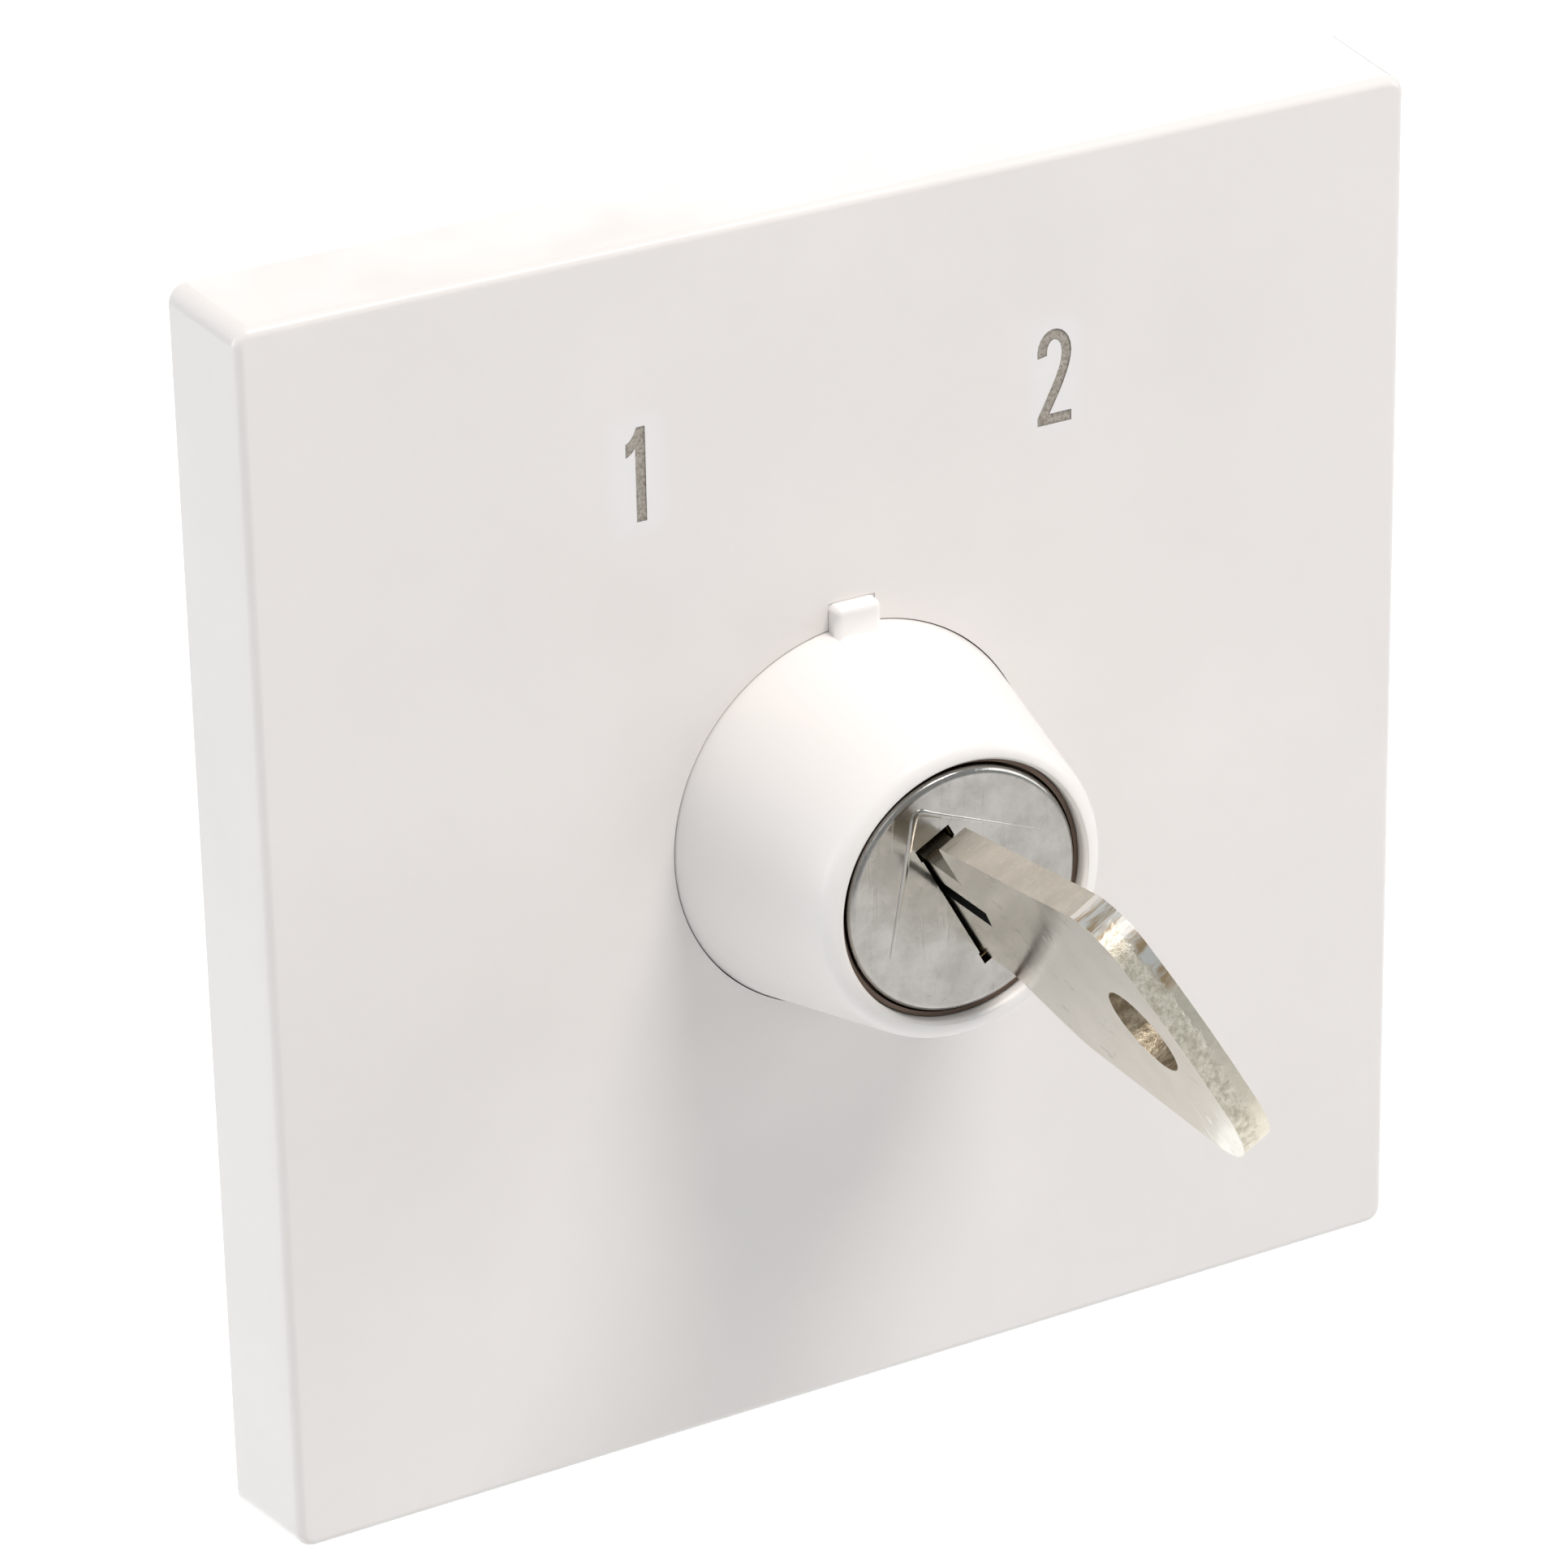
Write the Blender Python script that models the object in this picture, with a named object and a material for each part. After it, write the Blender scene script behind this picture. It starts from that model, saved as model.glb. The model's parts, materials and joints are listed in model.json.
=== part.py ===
"""Two-position selector key switch for a flush wall box.

The origin is on the wall plane, on the axis of the lock.
+X is to the right and +Z is up, seen from the room; the room is on the -Y side.
Each sub-part is one object. Turning parts hang on an empty on the lock axis.
"""

import math

import bmesh
import bpy
from mathutils import Matrix, Vector

MM = 0.001
GAP = 0.3 * MM

# cover plate
PLATE_HALF = 40.0 * MM
PLATE_FRONT_HALF = 39.55 * MM
PLATE_DEPTH = 7.7 * MM
PLATE_FILLET = 0.6 * MM
PLATE_CORNER = 1.15 * MM
PLATE_WALL = 2.0 * MM
PLATE_BOSS_RADIUS = 14.3 * MM
PLATE_BOSS_BACK = -4.7 * MM
CLIP_LEG_WIDTH = 9.0 * MM
CLIP_LEG_THICK = 1.2 * MM
CLIP_LEG_BACK = -0.4 * MM

# digits engraved in the plate
DIGIT_RADIUS = 29.1 * MM
DIGIT_ANGLE = math.radians(29.5)
DIGIT_HEIGHT = 6.0 * MM
DIGIT_HALF_WIDTH = 1.2 * MM
DIGIT_STROKE = 0.7 * MM
DIGIT_DEPTH = 0.2 * MM

# collar round the lock
COLLAR_BASE_RADIUS = 12.45 * MM
COLLAR_TOP_RADIUS = 9.75 * MM
COLLAR_BORE = 8.33 * MM
COLLAR_FRONT = -20.75 * MM
COLLAR_BACK = -4.7 * MM
COLLAR_FILLET = 1.2 * MM
TAB_HALF_WIDTH = 1.6 * MM
TAB_TOP = 14.1 * MM
TAB_FRONT = -8.7 * MM

# lock
FACE = -20.4 * MM
CAP_RADIUS = 7.87 * MM
CAP_THICK = 0.5 * MM
ARROW_APEX = 6.8 * MM
ARROW_SPREAD = math.radians(40.0)
ARROW_LENGTH = 9.3 * MM
ARROW_WIDTH = 0.35 * MM
BARREL_RADIUS = 8.0 * MM
BARREL_BORE = 6.6 * MM
BARREL_FRONT = -18.1 * MM
BARREL_BACK = 1.5 * MM
FLANGE_RADIUS = 14.0 * MM
FLANGE_FRONT = -4.3 * MM
FLANGE_BACK = -1.5 * MM
SPIGOT_RADIUS = 9.7 * MM
PLUG_RADIUS = 6.3 * MM
PLUG_HEAD_RADIUS = 7.5 * MM
KEYWAY_HALF_WIDTH = 1.3 * MM
KEYWAY_TOP = 4.5 * MM
KEYWAY_BOTTOM = -5.3 * MM
KEYWAY_END = -0.9 * MM
LOCK_SCREW_OFFSET = 11.1 * MM
CLIP_FRONT = 1.8 * MM
CLIP_BACK = 2.6 * MM
TAIL_FRONT = 3.9 * MM
TAIL_BACK = 6.4 * MM
TAIL_RADIUS = 4.5 * MM
TAIL_FLAT = 3.0 * MM

# positions of the key: 1 at upper left, 2 at upper right
POSITION_ANGLE = math.radians(29.0)
TURN = 2.0 * POSITION_ANGLE

# wafers
WAFER_COUNT = 5
WAFER_PITCH = 2.7 * MM
WAFER_FIRST = -15.9 * MM
WAFER_THICK = 1.0 * MM
WAFER_HALF_WIDTH = 2.2 * MM
WAFER_RADIUS = 6.0 * MM
WAFER_TRAVEL = 0.8 * MM

# key
KEY_HALF_THICK = 1.0 * MM
BLADE_TOP = 3.7 * MM
BLADE_BOTTOM = -4.5 * MM
BLADE_TIP = -1.6 * MM
KEY_SHOULDER = FACE - 3.9 * MM
RING_HOLE_RADIUS = 2.9 * MM

# steel frame behind the plate
FRAME_HALF = 35.5 * MM
FRAME_THICK = 1.2 * MM
FRAME_HOLE = 10.0 * MM
BOX_SCREW_SPACING = 60.0 * MM

# spreading claws
CLAW_PIVOT_X = 24.6 * MM
CLAW_PIVOT_Y = 2.0 * MM
CLAW_SCREW_X = 20.8 * MM

# switch block
BLOCK_HALF = 17.0 * MM
BLOCK_WALL = 1.5 * MM
BOLT_OFFSET = 13.3 * MM
BOLT_RADIUS = 1.5 * MM
BEARING_FRONT = 0.3 * MM
BEARING_BACK = 9.8 * MM
STAGE_LENGTH = 9.4 * MM
STAGE_PITCH = STAGE_LENGTH + GAP
STAGE_FRONT = BEARING_BACK + GAP
STAGE_FLOOR = 1.2 * MM
COVER_THICK = 2.0 * MM
SHAFT_HALF = 2.5 * MM
CAM_LOW = 5.2 * MM
CAM_LIFT = 2.0 * MM
CAM_HUB = 4.7 * MM
BRIDGE_HALF = 9.0 * MM
TERMINAL_X = 4.4 * MM
SHAFT_FRONT = 7.6 * MM
COVER_FRONT = STAGE_FRONT + 2.0 * STAGE_PITCH
COVER_BACK = COVER_FRONT + COVER_THICK
SHAFT_BACK = COVER_BACK - 0.4 * MM

# coupling and its stop lug
LUG_HALF_ANGLE = math.radians(9.0)
LUG_OUTER = 11.2 * MM
DRIVER_FRONT = 4.2 * MM
DRIVER_BACK = 9.0 * MM

ROUND = 40
TAU = 2.0 * math.pi


# ---------------------------------------------------------------- helpers

def clear_scene():
    for item in list(bpy.data.objects):
        bpy.data.objects.remove(item, do_unlink=True)


def finish(name, color, roughness, metallic=0.0):
    material = bpy.data.materials.new(name)
    material.use_nodes = True
    shader = material.node_tree.nodes["Principled BSDF"]
    shader.inputs["Base Color"].default_value = (*color, 1.0)
    shader.inputs["Roughness"].default_value = roughness
    shader.inputs["Metallic"].default_value = metallic
    return material


def make_object(name, bm, material=None, parent=None):
    """Turn a bmesh into an object with outward faces and smooth round sides."""
    bmesh.ops.recalc_face_normals(bm, faces=bm.faces)
    mesh = bpy.data.meshes.new(name)
    bm.to_mesh(mesh)
    bm.free()
    mesh.shade_smooth()
    mesh.set_sharp_from_angle(angle=math.radians(35.0))
    item = bpy.data.objects.new(name, mesh)
    bpy.context.scene.collection.objects.link(item)
    if material:
        mesh.materials.append(material)
    if parent:
        item.parent = parent
    return item


def empty(name, location=(0.0, 0.0, 0.0), turn=0.0, parent=None):
    """An empty on a joint axis, turned about Y."""
    item = bpy.data.objects.new(name, None)
    item.empty_display_size = 0.01
    item.location = location
    item.rotation_euler = (0.0, turn, 0.0)
    item.parent = parent
    bpy.context.scene.collection.objects.link(item)
    return item


def loft(name, loops, material=None, parent=None):
    """Closed solid through loops of equal count, capped at both ends."""
    bm = bmesh.new()
    rings = [[bm.verts.new(point) for point in loop] for loop in loops]
    count = len(rings[0])
    for low, high in zip(rings, rings[1:]):
        for i in range(count):
            j = (i + 1) % count
            bm.faces.new((low[i], low[j], high[j], high[i]))
    bm.faces.new(rings[0])
    bm.faces.new(rings[-1])
    return make_object(name, bm, material, parent)


def prism(name, outline, y0, y1, material=None, parent=None):
    """Outline in X and Z, extruded along Y."""
    loops = [[(x, y, z) for x, z in outline] for y in (y0, y1)]
    return loft(name, loops, material, parent)


def prism_x(name, outline, x0, x1, material=None, parent=None):
    """Outline in Y and Z, extruded along X."""
    loops = [[(x, y, z) for y, z in outline] for x in (x0, x1)]
    return loft(name, loops, material, parent)


def box(name, xs, ys, zs, material=None, parent=None):
    outline = [(xs[0], zs[0]), (xs[1], zs[0]), (xs[1], zs[1]), (xs[0], zs[1])]
    return prism(name, outline, ys[0], ys[1], material, parent)


def lathe(name, profile, material=None, parent=None, steps=ROUND, center=(0.0, 0.0)):
    """Turn a profile of (radius, y) points about an axis along Y.

    A profile that starts and ends at radius zero makes a solid piece, any other a ring.
    """
    bm = bmesh.new()
    rings = []
    for radius, y in profile:
        if radius == 0.0:
            rings.append([bm.verts.new((center[0], y, center[1]))])
            continue
        ring = []
        for i in range(steps):
            angle = TAU * i / steps
            x = center[0] + radius * math.cos(angle)
            z = center[1] + radius * math.sin(angle)
            ring.append(bm.verts.new((x, y, z)))
        rings.append(ring)
    pairs = list(zip(rings, rings[1:]))
    if profile[0][0] > 0.0:
        pairs.append((rings[-1], rings[0]))
    for low, high in pairs:
        for i in range(steps):
            j = (i + 1) % steps
            if len(low) == 1:
                bm.faces.new((low[0], high[i], high[j]))
            elif len(high) == 1:
                bm.faces.new((low[i], low[j], high[0]))
            else:
                bm.faces.new((low[i], low[j], high[j], high[i]))
    return make_object(name, bm, material, parent)


def disc(name, radius, y0, y1, material=None, parent=None, steps=ROUND, center=(0.0, 0.0)):
    profile = [(0.0, y0), (radius, y0), (radius, y1), (0.0, y1)]
    return lathe(name, profile, material, parent, steps, center)


def ring(name, inner, outer, y0, y1, material=None, parent=None, steps=ROUND):
    profile = [(inner, y0), (outer, y0), (outer, y1), (inner, y1)]
    return lathe(name, profile, material, parent, steps)


def add_boolean(target, tool, operation):
    """Combine with a tool object that stays out of the renders."""
    modifier = target.modifiers.new(tool.name, "BOOLEAN")
    modifier.operation = operation
    modifier.solver = "EXACT"
    modifier.object = tool
    tool.hide_render = True
    tool.display_type = "WIRE"


def cut(target, tool):
    add_boolean(target, tool, "DIFFERENCE")


def join(target, tool):
    add_boolean(target, tool, "UNION")


def rounded_outline(half_x, half_z, radius, steps=5):
    """Rectangle with round corners, counter-clockwise from the +X side."""
    points = []
    for quarter in range(4):
        sign_x = 1 if quarter in (0, 3) else -1
        sign_z = 1 if quarter in (0, 1) else -1
        for i in range(steps + 1):
            angle = math.radians(90.0 * quarter + 90.0 * i / steps)
            x = sign_x * (half_x - radius) + radius * math.cos(angle)
            z = sign_z * (half_z - radius) + radius * math.sin(angle)
            points.append((x, z))
    return points


def rounded_polygon(corners, steps=6):
    """Polygon whose corners (a, b, radius) are rounded by tangent arcs."""
    points = []
    count = len(corners)
    for i in range(count):
        before = Vector(corners[i - 1][:2])
        here = Vector(corners[i][:2])
        after = Vector(corners[(i + 1) % count][:2])
        radius = corners[i][2]
        if radius == 0.0:
            points.append(tuple(here))
            continue
        to_before = (before - here).normalized()
        to_after = (after - here).normalized()
        half = to_before.angle(to_after) / 2.0
        reach = radius / math.tan(half)
        middle = here + (to_before + to_after).normalized() * radius / math.sin(half)
        start = here + to_before * reach - middle
        end = here + to_after * reach - middle
        sweep = start.angle_signed(end)
        for k in range(steps + 1):
            turned = Matrix.Rotation(-sweep * k / steps, 2) @ start
            points.append(tuple(middle + turned))
    return points


def polar(radius, angle):
    """Point at an angle that is clockwise from straight up, seen from the room."""
    return radius * math.sin(angle), radius * math.cos(angle)


# ---------------------------------------------------------------- cover plate

def digit_one(center):
    """Upright stroke with a flag at its upper left."""
    x, z = center
    half = DIGIT_HEIGHT / 2.0
    right = x + 0.62 * MM
    left = right - DIGIT_STROKE
    flag = right - 1.32 * MM
    top = z + half
    outline = [
        (left, z - half),
        (right, z - half),
        (right, top),
        (left + 0.12 * MM, top),
        (left - 0.08 * MM, top - 0.45 * MM),
        (flag + 0.25 * MM, top - 0.85 * MM),
        (flag, top - 0.95 * MM),
        (flag, top - 1.8 * MM),
        (left - 0.2 * MM, top - 1.55 * MM),
        (left, top - 1.3 * MM),
    ]
    front = -PLATE_DEPTH
    return prism("digit_1_cutter", outline, front - MM, front + DIGIT_DEPTH)


def digit_two(center):
    """Narrow hook, diagonal and level foot of a figure two."""
    x, z = center
    half = DIGIT_HEIGHT / 2.0
    outer = DIGIT_HALF_WIDTH
    inner = outer - DIGIT_STROKE
    rise = 1.5 * MM
    eye = z + half - rise
    foot = z - half
    steps = 8
    hook = math.radians(190.0)
    outline = []
    for i in range(steps + 1):
        angle = hook * (1.0 - i / steps)
        outline.append((x + outer * math.cos(angle), eye + rise * math.sin(angle)))
    outline += [
        (x + 0.95 * outer, eye - 0.7 * MM),
        (x - 0.36 * MM, foot + DIGIT_STROKE),
        (x + outer, foot + DIGIT_STROKE),
        (x + outer, foot),
        (x - outer, foot),
        (x - outer, foot + 0.5 * MM),
        (x + 0.85 * inner, eye - 0.9 * MM),
    ]
    for i in range(steps + 1):
        angle = hook * i / steps
        low_rise = rise - DIGIT_STROKE
        outline.append((x + inner * math.cos(angle), eye + low_rise * math.sin(angle)))
    front = -PLATE_DEPTH
    return prism("digit_2_cutter", outline, front - MM, front + DIGIT_DEPTH)


def plate_loops():
    """Outlines from the rear rim to the front face."""
    loops = []
    rear = rounded_outline(PLATE_HALF, PLATE_HALF, PLATE_CORNER)
    loops.append([(x, 0.0, z) for x, z in rear])
    steps = 4
    for i in range(steps + 1):
        angle = math.pi / 2.0 * i / steps
        inset = PLATE_FILLET * (1.0 - math.cos(angle))
        half = PLATE_FRONT_HALF - inset
        y = -PLATE_DEPTH + PLATE_FILLET * (1.0 - math.sin(angle))
        outline = rounded_outline(half, half, PLATE_CORNER - 0.5 * inset)
        loops.append([(x, y, z) for x, z in outline])
    return loops


def build_cover_plate(material):
    plate = loft("cover_plate", plate_loops(), material)
    inside = PLATE_FRONT_HALF - PLATE_WALL
    wall_back = -PLATE_DEPTH + PLATE_WALL
    outline = rounded_outline(inside, inside, 1.0 * MM, 3)
    cut(plate, prism("plate_hollow_cutter", outline, wall_back, 0.01))
    boss = disc("plate_boss_tool", PLATE_BOSS_RADIUS, wall_back - MM, PLATE_BOSS_BACK)
    join(plate, boss)
    for index, (x, z) in enumerate(((1, 0), (0, 1), (-1, 0), (0, -1))):
        near = FRAME_HALF + GAP
        far = near + CLIP_LEG_THICK
        wide = CLIP_LEG_WIDTH
        if x:
            xs = sorted((x * near, x * far))
            zs = (-wide, wide)
        else:
            xs = (-wide, wide)
            zs = sorted((z * near, z * far))
        leg = box(f"clip_leg_tool_{index}", xs, (wall_back - MM, CLIP_LEG_BACK), zs)
        join(plate, leg)
    hole = disc("plate_hole_cutter", COLLAR_BASE_RADIUS + GAP, -0.01, 0.0)
    cut(plate, hole)
    notch_half = TAB_HALF_WIDTH + GAP
    notch = box(
        "plate_notch_cutter",
        (-notch_half, notch_half),
        (-0.01, 0.0),
        (0.010, TAB_TOP + GAP),
    )
    cut(plate, notch)
    cut(plate, digit_one(polar(DIGIT_RADIUS, -DIGIT_ANGLE)))
    cut(plate, digit_two(polar(DIGIT_RADIUS, DIGIT_ANGLE)))
    return plate


# ---------------------------------------------------------------- collar and lock

def build_collar(material):
    """Cone with a turned-in ring at its base and an index tab at 12 o'clock."""
    front = COLLAR_FRONT
    profile = [
        (COLLAR_BORE, front + 0.3 * MM),
        (COLLAR_BORE + 0.3 * MM, front),
    ]
    steps = 5
    centre_r = COLLAR_TOP_RADIUS - COLLAR_FILLET
    for i in range(steps + 1):
        angle = math.pi / 2.0 * i / steps
        radius = centre_r + COLLAR_FILLET * math.sin(angle)
        y = front + COLLAR_FILLET * (1.0 - math.cos(angle))
        profile.append((radius, y))
    profile += [
        (COLLAR_BASE_RADIUS, -PLATE_DEPTH),
        (COLLAR_BASE_RADIUS, COLLAR_BACK),
        (COLLAR_BORE, COLLAR_BACK),
        (COLLAR_BORE, COLLAR_BACK - 2.0 * MM),
        (COLLAR_BASE_RADIUS - 1.5 * MM, COLLAR_BACK - 2.0 * MM),
        (COLLAR_BORE, front + 3.0 * MM),
    ]
    collar = lathe("lock_collar", profile, material)
    half = TAB_HALF_WIDTH
    tab = box(
        "collar_tab_tool",
        (-half, half),
        (TAB_FRONT, -PLATE_DEPTH + 1.6 * MM),
        (0.0112, TAB_TOP),
    )
    bevel = tab.modifiers.new("rounding", "BEVEL")
    bevel.width = 0.45 * MM
    bevel.segments = 3
    join(collar, tab)
    return collar


def build_lock_housing(material):
    """Barrel with a screw flange, a rear spigot and two wafer channels."""
    profile = [
        (BARREL_BORE, BARREL_FRONT),
        (BARREL_RADIUS, BARREL_FRONT),
        (BARREL_RADIUS, FLANGE_FRONT),
        (FLANGE_RADIUS, FLANGE_FRONT),
        (FLANGE_RADIUS, FLANGE_BACK),
        (SPIGOT_RADIUS, FLANGE_BACK),
        (SPIGOT_RADIUS, BARREL_BACK),
        (BARREL_BORE, BARREL_BACK),
    ]
    housing = lathe("lock_housing", profile, material)
    y0 = WAFER_FIRST - WAFER_THICK
    y1 = WAFER_FIRST + WAFER_PITCH * (WAFER_COUNT - 1) + 2.0 * WAFER_THICK
    half = WAFER_HALF_WIDTH + GAP
    deep = -(WAFER_RADIUS + WAFER_TRAVEL + 1.3 * GAP)
    for index, side in enumerate((-1, 1)):
        channel = box(
            f"wafer_channel_cutter_{index}", (-half, half), (y0, y1), (deep, -0.004)
        )
        channel.rotation_euler = (0.0, side * POSITION_ANGLE, 0.0)
        cut(housing, channel)
    for index, side in enumerate((-1, 1)):
        center = (side * LOCK_SCREW_OFFSET, 0.0)
        hole = disc(f"flange_hole_{index}", 1.5 * MM, -0.006, 0.0, None, None, 12, center)
        cut(housing, hole)
        seat_back = FLANGE_FRONT + 1.3 * MM
        seat = disc(f"flange_seat_{index}", 2.5 * MM, -0.006, seat_back, None, None, 12, center)
        cut(housing, seat)
    return housing


def build_cap(material, axis):
    """Thin steel disc with a rolled edge, the key slot and a raised arrowhead."""
    back = FACE + CAP_THICK
    profile = [
        (0.0, FACE),
        (CAP_RADIUS - 0.45 * MM, FACE),
        (CAP_RADIUS - 0.12 * MM, FACE + 0.12 * MM),
        (CAP_RADIUS, FACE + 0.35 * MM),
        (CAP_RADIUS, back),
        (0.0, back),
    ]
    cap = lathe("face_cap", profile, material, axis)
    half = KEYWAY_HALF_WIDTH
    slot = box(
        "cap_slot_cutter", (-half, half), (-0.03, 0.0), (KEYWAY_BOTTOM, KEYWAY_TOP), None, axis
    )
    apex = Vector((0.0, ARROW_APEX))
    for index, side in enumerate((-1, 1)):
        along = Vector((side * math.sin(ARROW_SPREAD), -math.cos(ARROW_SPREAD)))
        across = Vector((-along.y, along.x)) * ARROW_WIDTH / 2.0
        start = apex - along * 0.1 * MM
        end = apex + along * ARROW_LENGTH
        tip = across * 0.4
        outline = [tuple(corner) for corner in (start - across, end - tip, end + tip, start + across)]
        ridge = prism(
            f"arrow_ridge_tool_{index}", outline, FACE - 0.15 * MM, FACE + 0.2 * MM, None, axis
        )
        join(cap, ridge)
    cut(cap, slot)
    return cap


def wafer_y(index):
    return WAFER_FIRST + WAFER_PITCH * index


def build_plug(material, axis):
    """Turned plug: head, body with keyway and wafer slots, clip groove, flatted tail."""
    head_front = FACE + CAP_THICK + GAP
    head_back = BARREL_FRONT - GAP
    groove = 5.2 * MM
    profile = [
        (0.0, head_front),
        (PLUG_HEAD_RADIUS, head_front),
        (PLUG_HEAD_RADIUS, head_back),
        (PLUG_RADIUS, head_back),
        (PLUG_RADIUS, CLIP_FRONT - GAP),
        (groove, CLIP_FRONT - GAP),
        (groove, CLIP_BACK + GAP),
        (PLUG_RADIUS, CLIP_BACK + GAP),
        (PLUG_RADIUS, TAIL_FRONT),
        (TAIL_RADIUS, TAIL_FRONT),
        (TAIL_RADIUS, TAIL_BACK),
        (0.0, TAIL_BACK),
    ]
    plug = lathe("lock_plug", profile, material, axis)
    half = KEYWAY_HALF_WIDTH
    keyway = box(
        "keyway_cutter", (-half, half), (-0.03, KEYWAY_END), (KEYWAY_BOTTOM, KEYWAY_TOP), None, axis
    )
    cut(plug, keyway)
    for index in range(WAFER_COUNT):
        y = wafer_y(index)
        wide = WAFER_HALF_WIDTH + GAP
        slot = box(
            f"wafer_slot_cutter_{index}",
            (-wide, wide),
            (y - GAP, y + WAFER_THICK + GAP),
            (-0.008, 0.008),
            None,
            axis,
        )
        cut(plug, slot)
    for index, side in enumerate((-1, 1)):
        xs = sorted((side * TAIL_FLAT, side * 0.01))
        flat = box(
            f"tail_flat_cutter_{index}", xs, (TAIL_FRONT, 0.01), (-0.01, 0.01), None, axis
        )
        cut(plug, flat)
    return plug


def build_wafer(index, material, axis):
    """Plate with round ends and a window for the blade, modelled with the key in."""
    y = wafer_y(index)
    slider = empty(f"wafer_slide_{index + 1}", (0.0, y, 0.0), 0.0, axis)
    outline = []
    reach = math.asin(WAFER_HALF_WIDTH / WAFER_RADIUS)
    steps = 6
    for side in (1, -1):
        for i in range(steps + 1):
            angle = side * reach * (2.0 * i / steps - 1.0)
            x, z = polar(WAFER_RADIUS, angle)
            outline.append((x, z * side))
    wafer = prism(f"wafer_{index + 1}", outline, 0.0, WAFER_THICK, material, slider)
    half = KEYWAY_HALF_WIDTH
    low = BLADE_BOTTOM - GAP
    high = BLADE_TOP + GAP + WAFER_TRAVEL
    window = box(
        f"wafer_window_cutter_{index + 1}", (-half, half), (-MM, 3 * MM), (low, high), None, slider
    )
    cut(wafer, window)
    return wafer


def build_plug_clip(material, axis):
    """Open spring ring in the groove behind the barrel."""
    clip = ring("plug_clip", 5.5 * MM, 7.7 * MM, CLIP_FRONT, CLIP_BACK, material, axis, 32)
    mouth = box("clip_mouth_cutter", (-3.6 * MM, 3.6 * MM), (0.0, 0.01), (0.0, 0.01), None, axis)
    cut(clip, mouth)
    return clip


def key_outline():
    """Side view of the key as (height above the axis, distance out along -Y)."""
    corners = [
        (BLADE_TOP, KEY_SHOULDER, 0.0),
        (6.7 * MM, KEY_SHOULDER, 0.4 * MM),
        (10.9 * MM, FACE - 23.9 * MM, 3.4 * MM),
        (3.0 * MM, FACE - 26.8 * MM, 40.0 * MM),
        (-8.8 * MM, FACE - 28.4 * MM, 4.8 * MM),
        (-7.4 * MM, FACE - 9.0 * MM, 7.0 * MM),
        (BLADE_BOTTOM, FACE - 3.4 * MM, 1.5 * MM),
        (BLADE_BOTTOM, BLADE_TIP - 2.6 * MM, 0.0),
        (-1.8 * MM, BLADE_TIP, 0.0),
        (1.2 * MM, BLADE_TIP, 0.0),
        (BLADE_TOP, BLADE_TIP - 2.2 * MM, 0.0),
    ]
    return [(y, z) for z, y in rounded_polygon(corners, 6)]


def build_key(material, axis):
    """Flat stamped key with cuts along the blade, a milled groove and a ring hole."""
    slider = empty("key_slide", (0.0, 0.0, 0.0), 0.0, axis)
    half = KEY_HALF_THICK
    key = prism_x("key", key_outline(), -half, half, material, slider)
    hole = ring_hole_tool(slider)
    cut(key, hole)
    for index in range(WAFER_COUNT):
        depth = (0.9 + 0.5 * ((index * 2) % 3)) * MM
        y = wafer_y(index) + WAFER_THICK / 2.0
        top = BLADE_TOP + MM
        floor = BLADE_TOP - depth
        outline = [
            (y - 0.5 * MM, floor),
            (y + 0.5 * MM, floor),
            (y + 0.5 * MM + (top - floor) * 0.45, top),
            (y - 0.5 * MM - (top - floor) * 0.45, top),
        ]
        notch = prism_x(f"key_cut_{index}", outline, -2.0 * half, 2.0 * half, None, slider)
        cut(key, notch)
    groove = box(
        "key_groove_cutter",
        (-2.0 * MM, -half + 0.55 * MM),
        (FACE - 5.2 * MM, 0.0),
        (0.5 * MM, 1.8 * MM),
        None,
        slider,
    )
    cut(key, groove)
    return key


def ring_hole_tool(parent):
    bm = bmesh.new()
    across = Matrix.Rotation(math.pi / 2.0, 4, "Y")
    place = Matrix.Translation((0.0, FACE - 21.65 * MM, 0.95 * MM)) @ across
    bmesh.ops.create_cone(
        bm,
        cap_ends=True,
        segments=32,
        radius1=RING_HOLE_RADIUS,
        radius2=RING_HOLE_RADIUS,
        depth=6.0 * MM,
        matrix=place,
    )
    return make_object("ring_hole_cutter", bm, None, parent)


def build_lock_screws(material):
    """Countersunk screws that hold the barrel's flange to the frame."""
    head = FLANGE_FRONT
    profile = [
        (0.0, head + 0.4 * MM),
        (0.5 * MM, head + 0.4 * MM),
        (0.5 * MM, head),
        (2.1 * MM, head),
        (2.1 * MM, head + 1.0 * MM),
        (1.2 * MM, head + 1.0 * MM),
        (1.2 * MM, 3.6 * MM),
        (0.0, 3.6 * MM),
    ]
    for name, side in (("left", -1), ("right", 1)):
        center = (side * LOCK_SCREW_OFFSET, 0.0)
        lathe(f"lock_screw_{name}", profile, material, None, 12, center)


# ---------------------------------------------------------------- frame and claws


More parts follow.
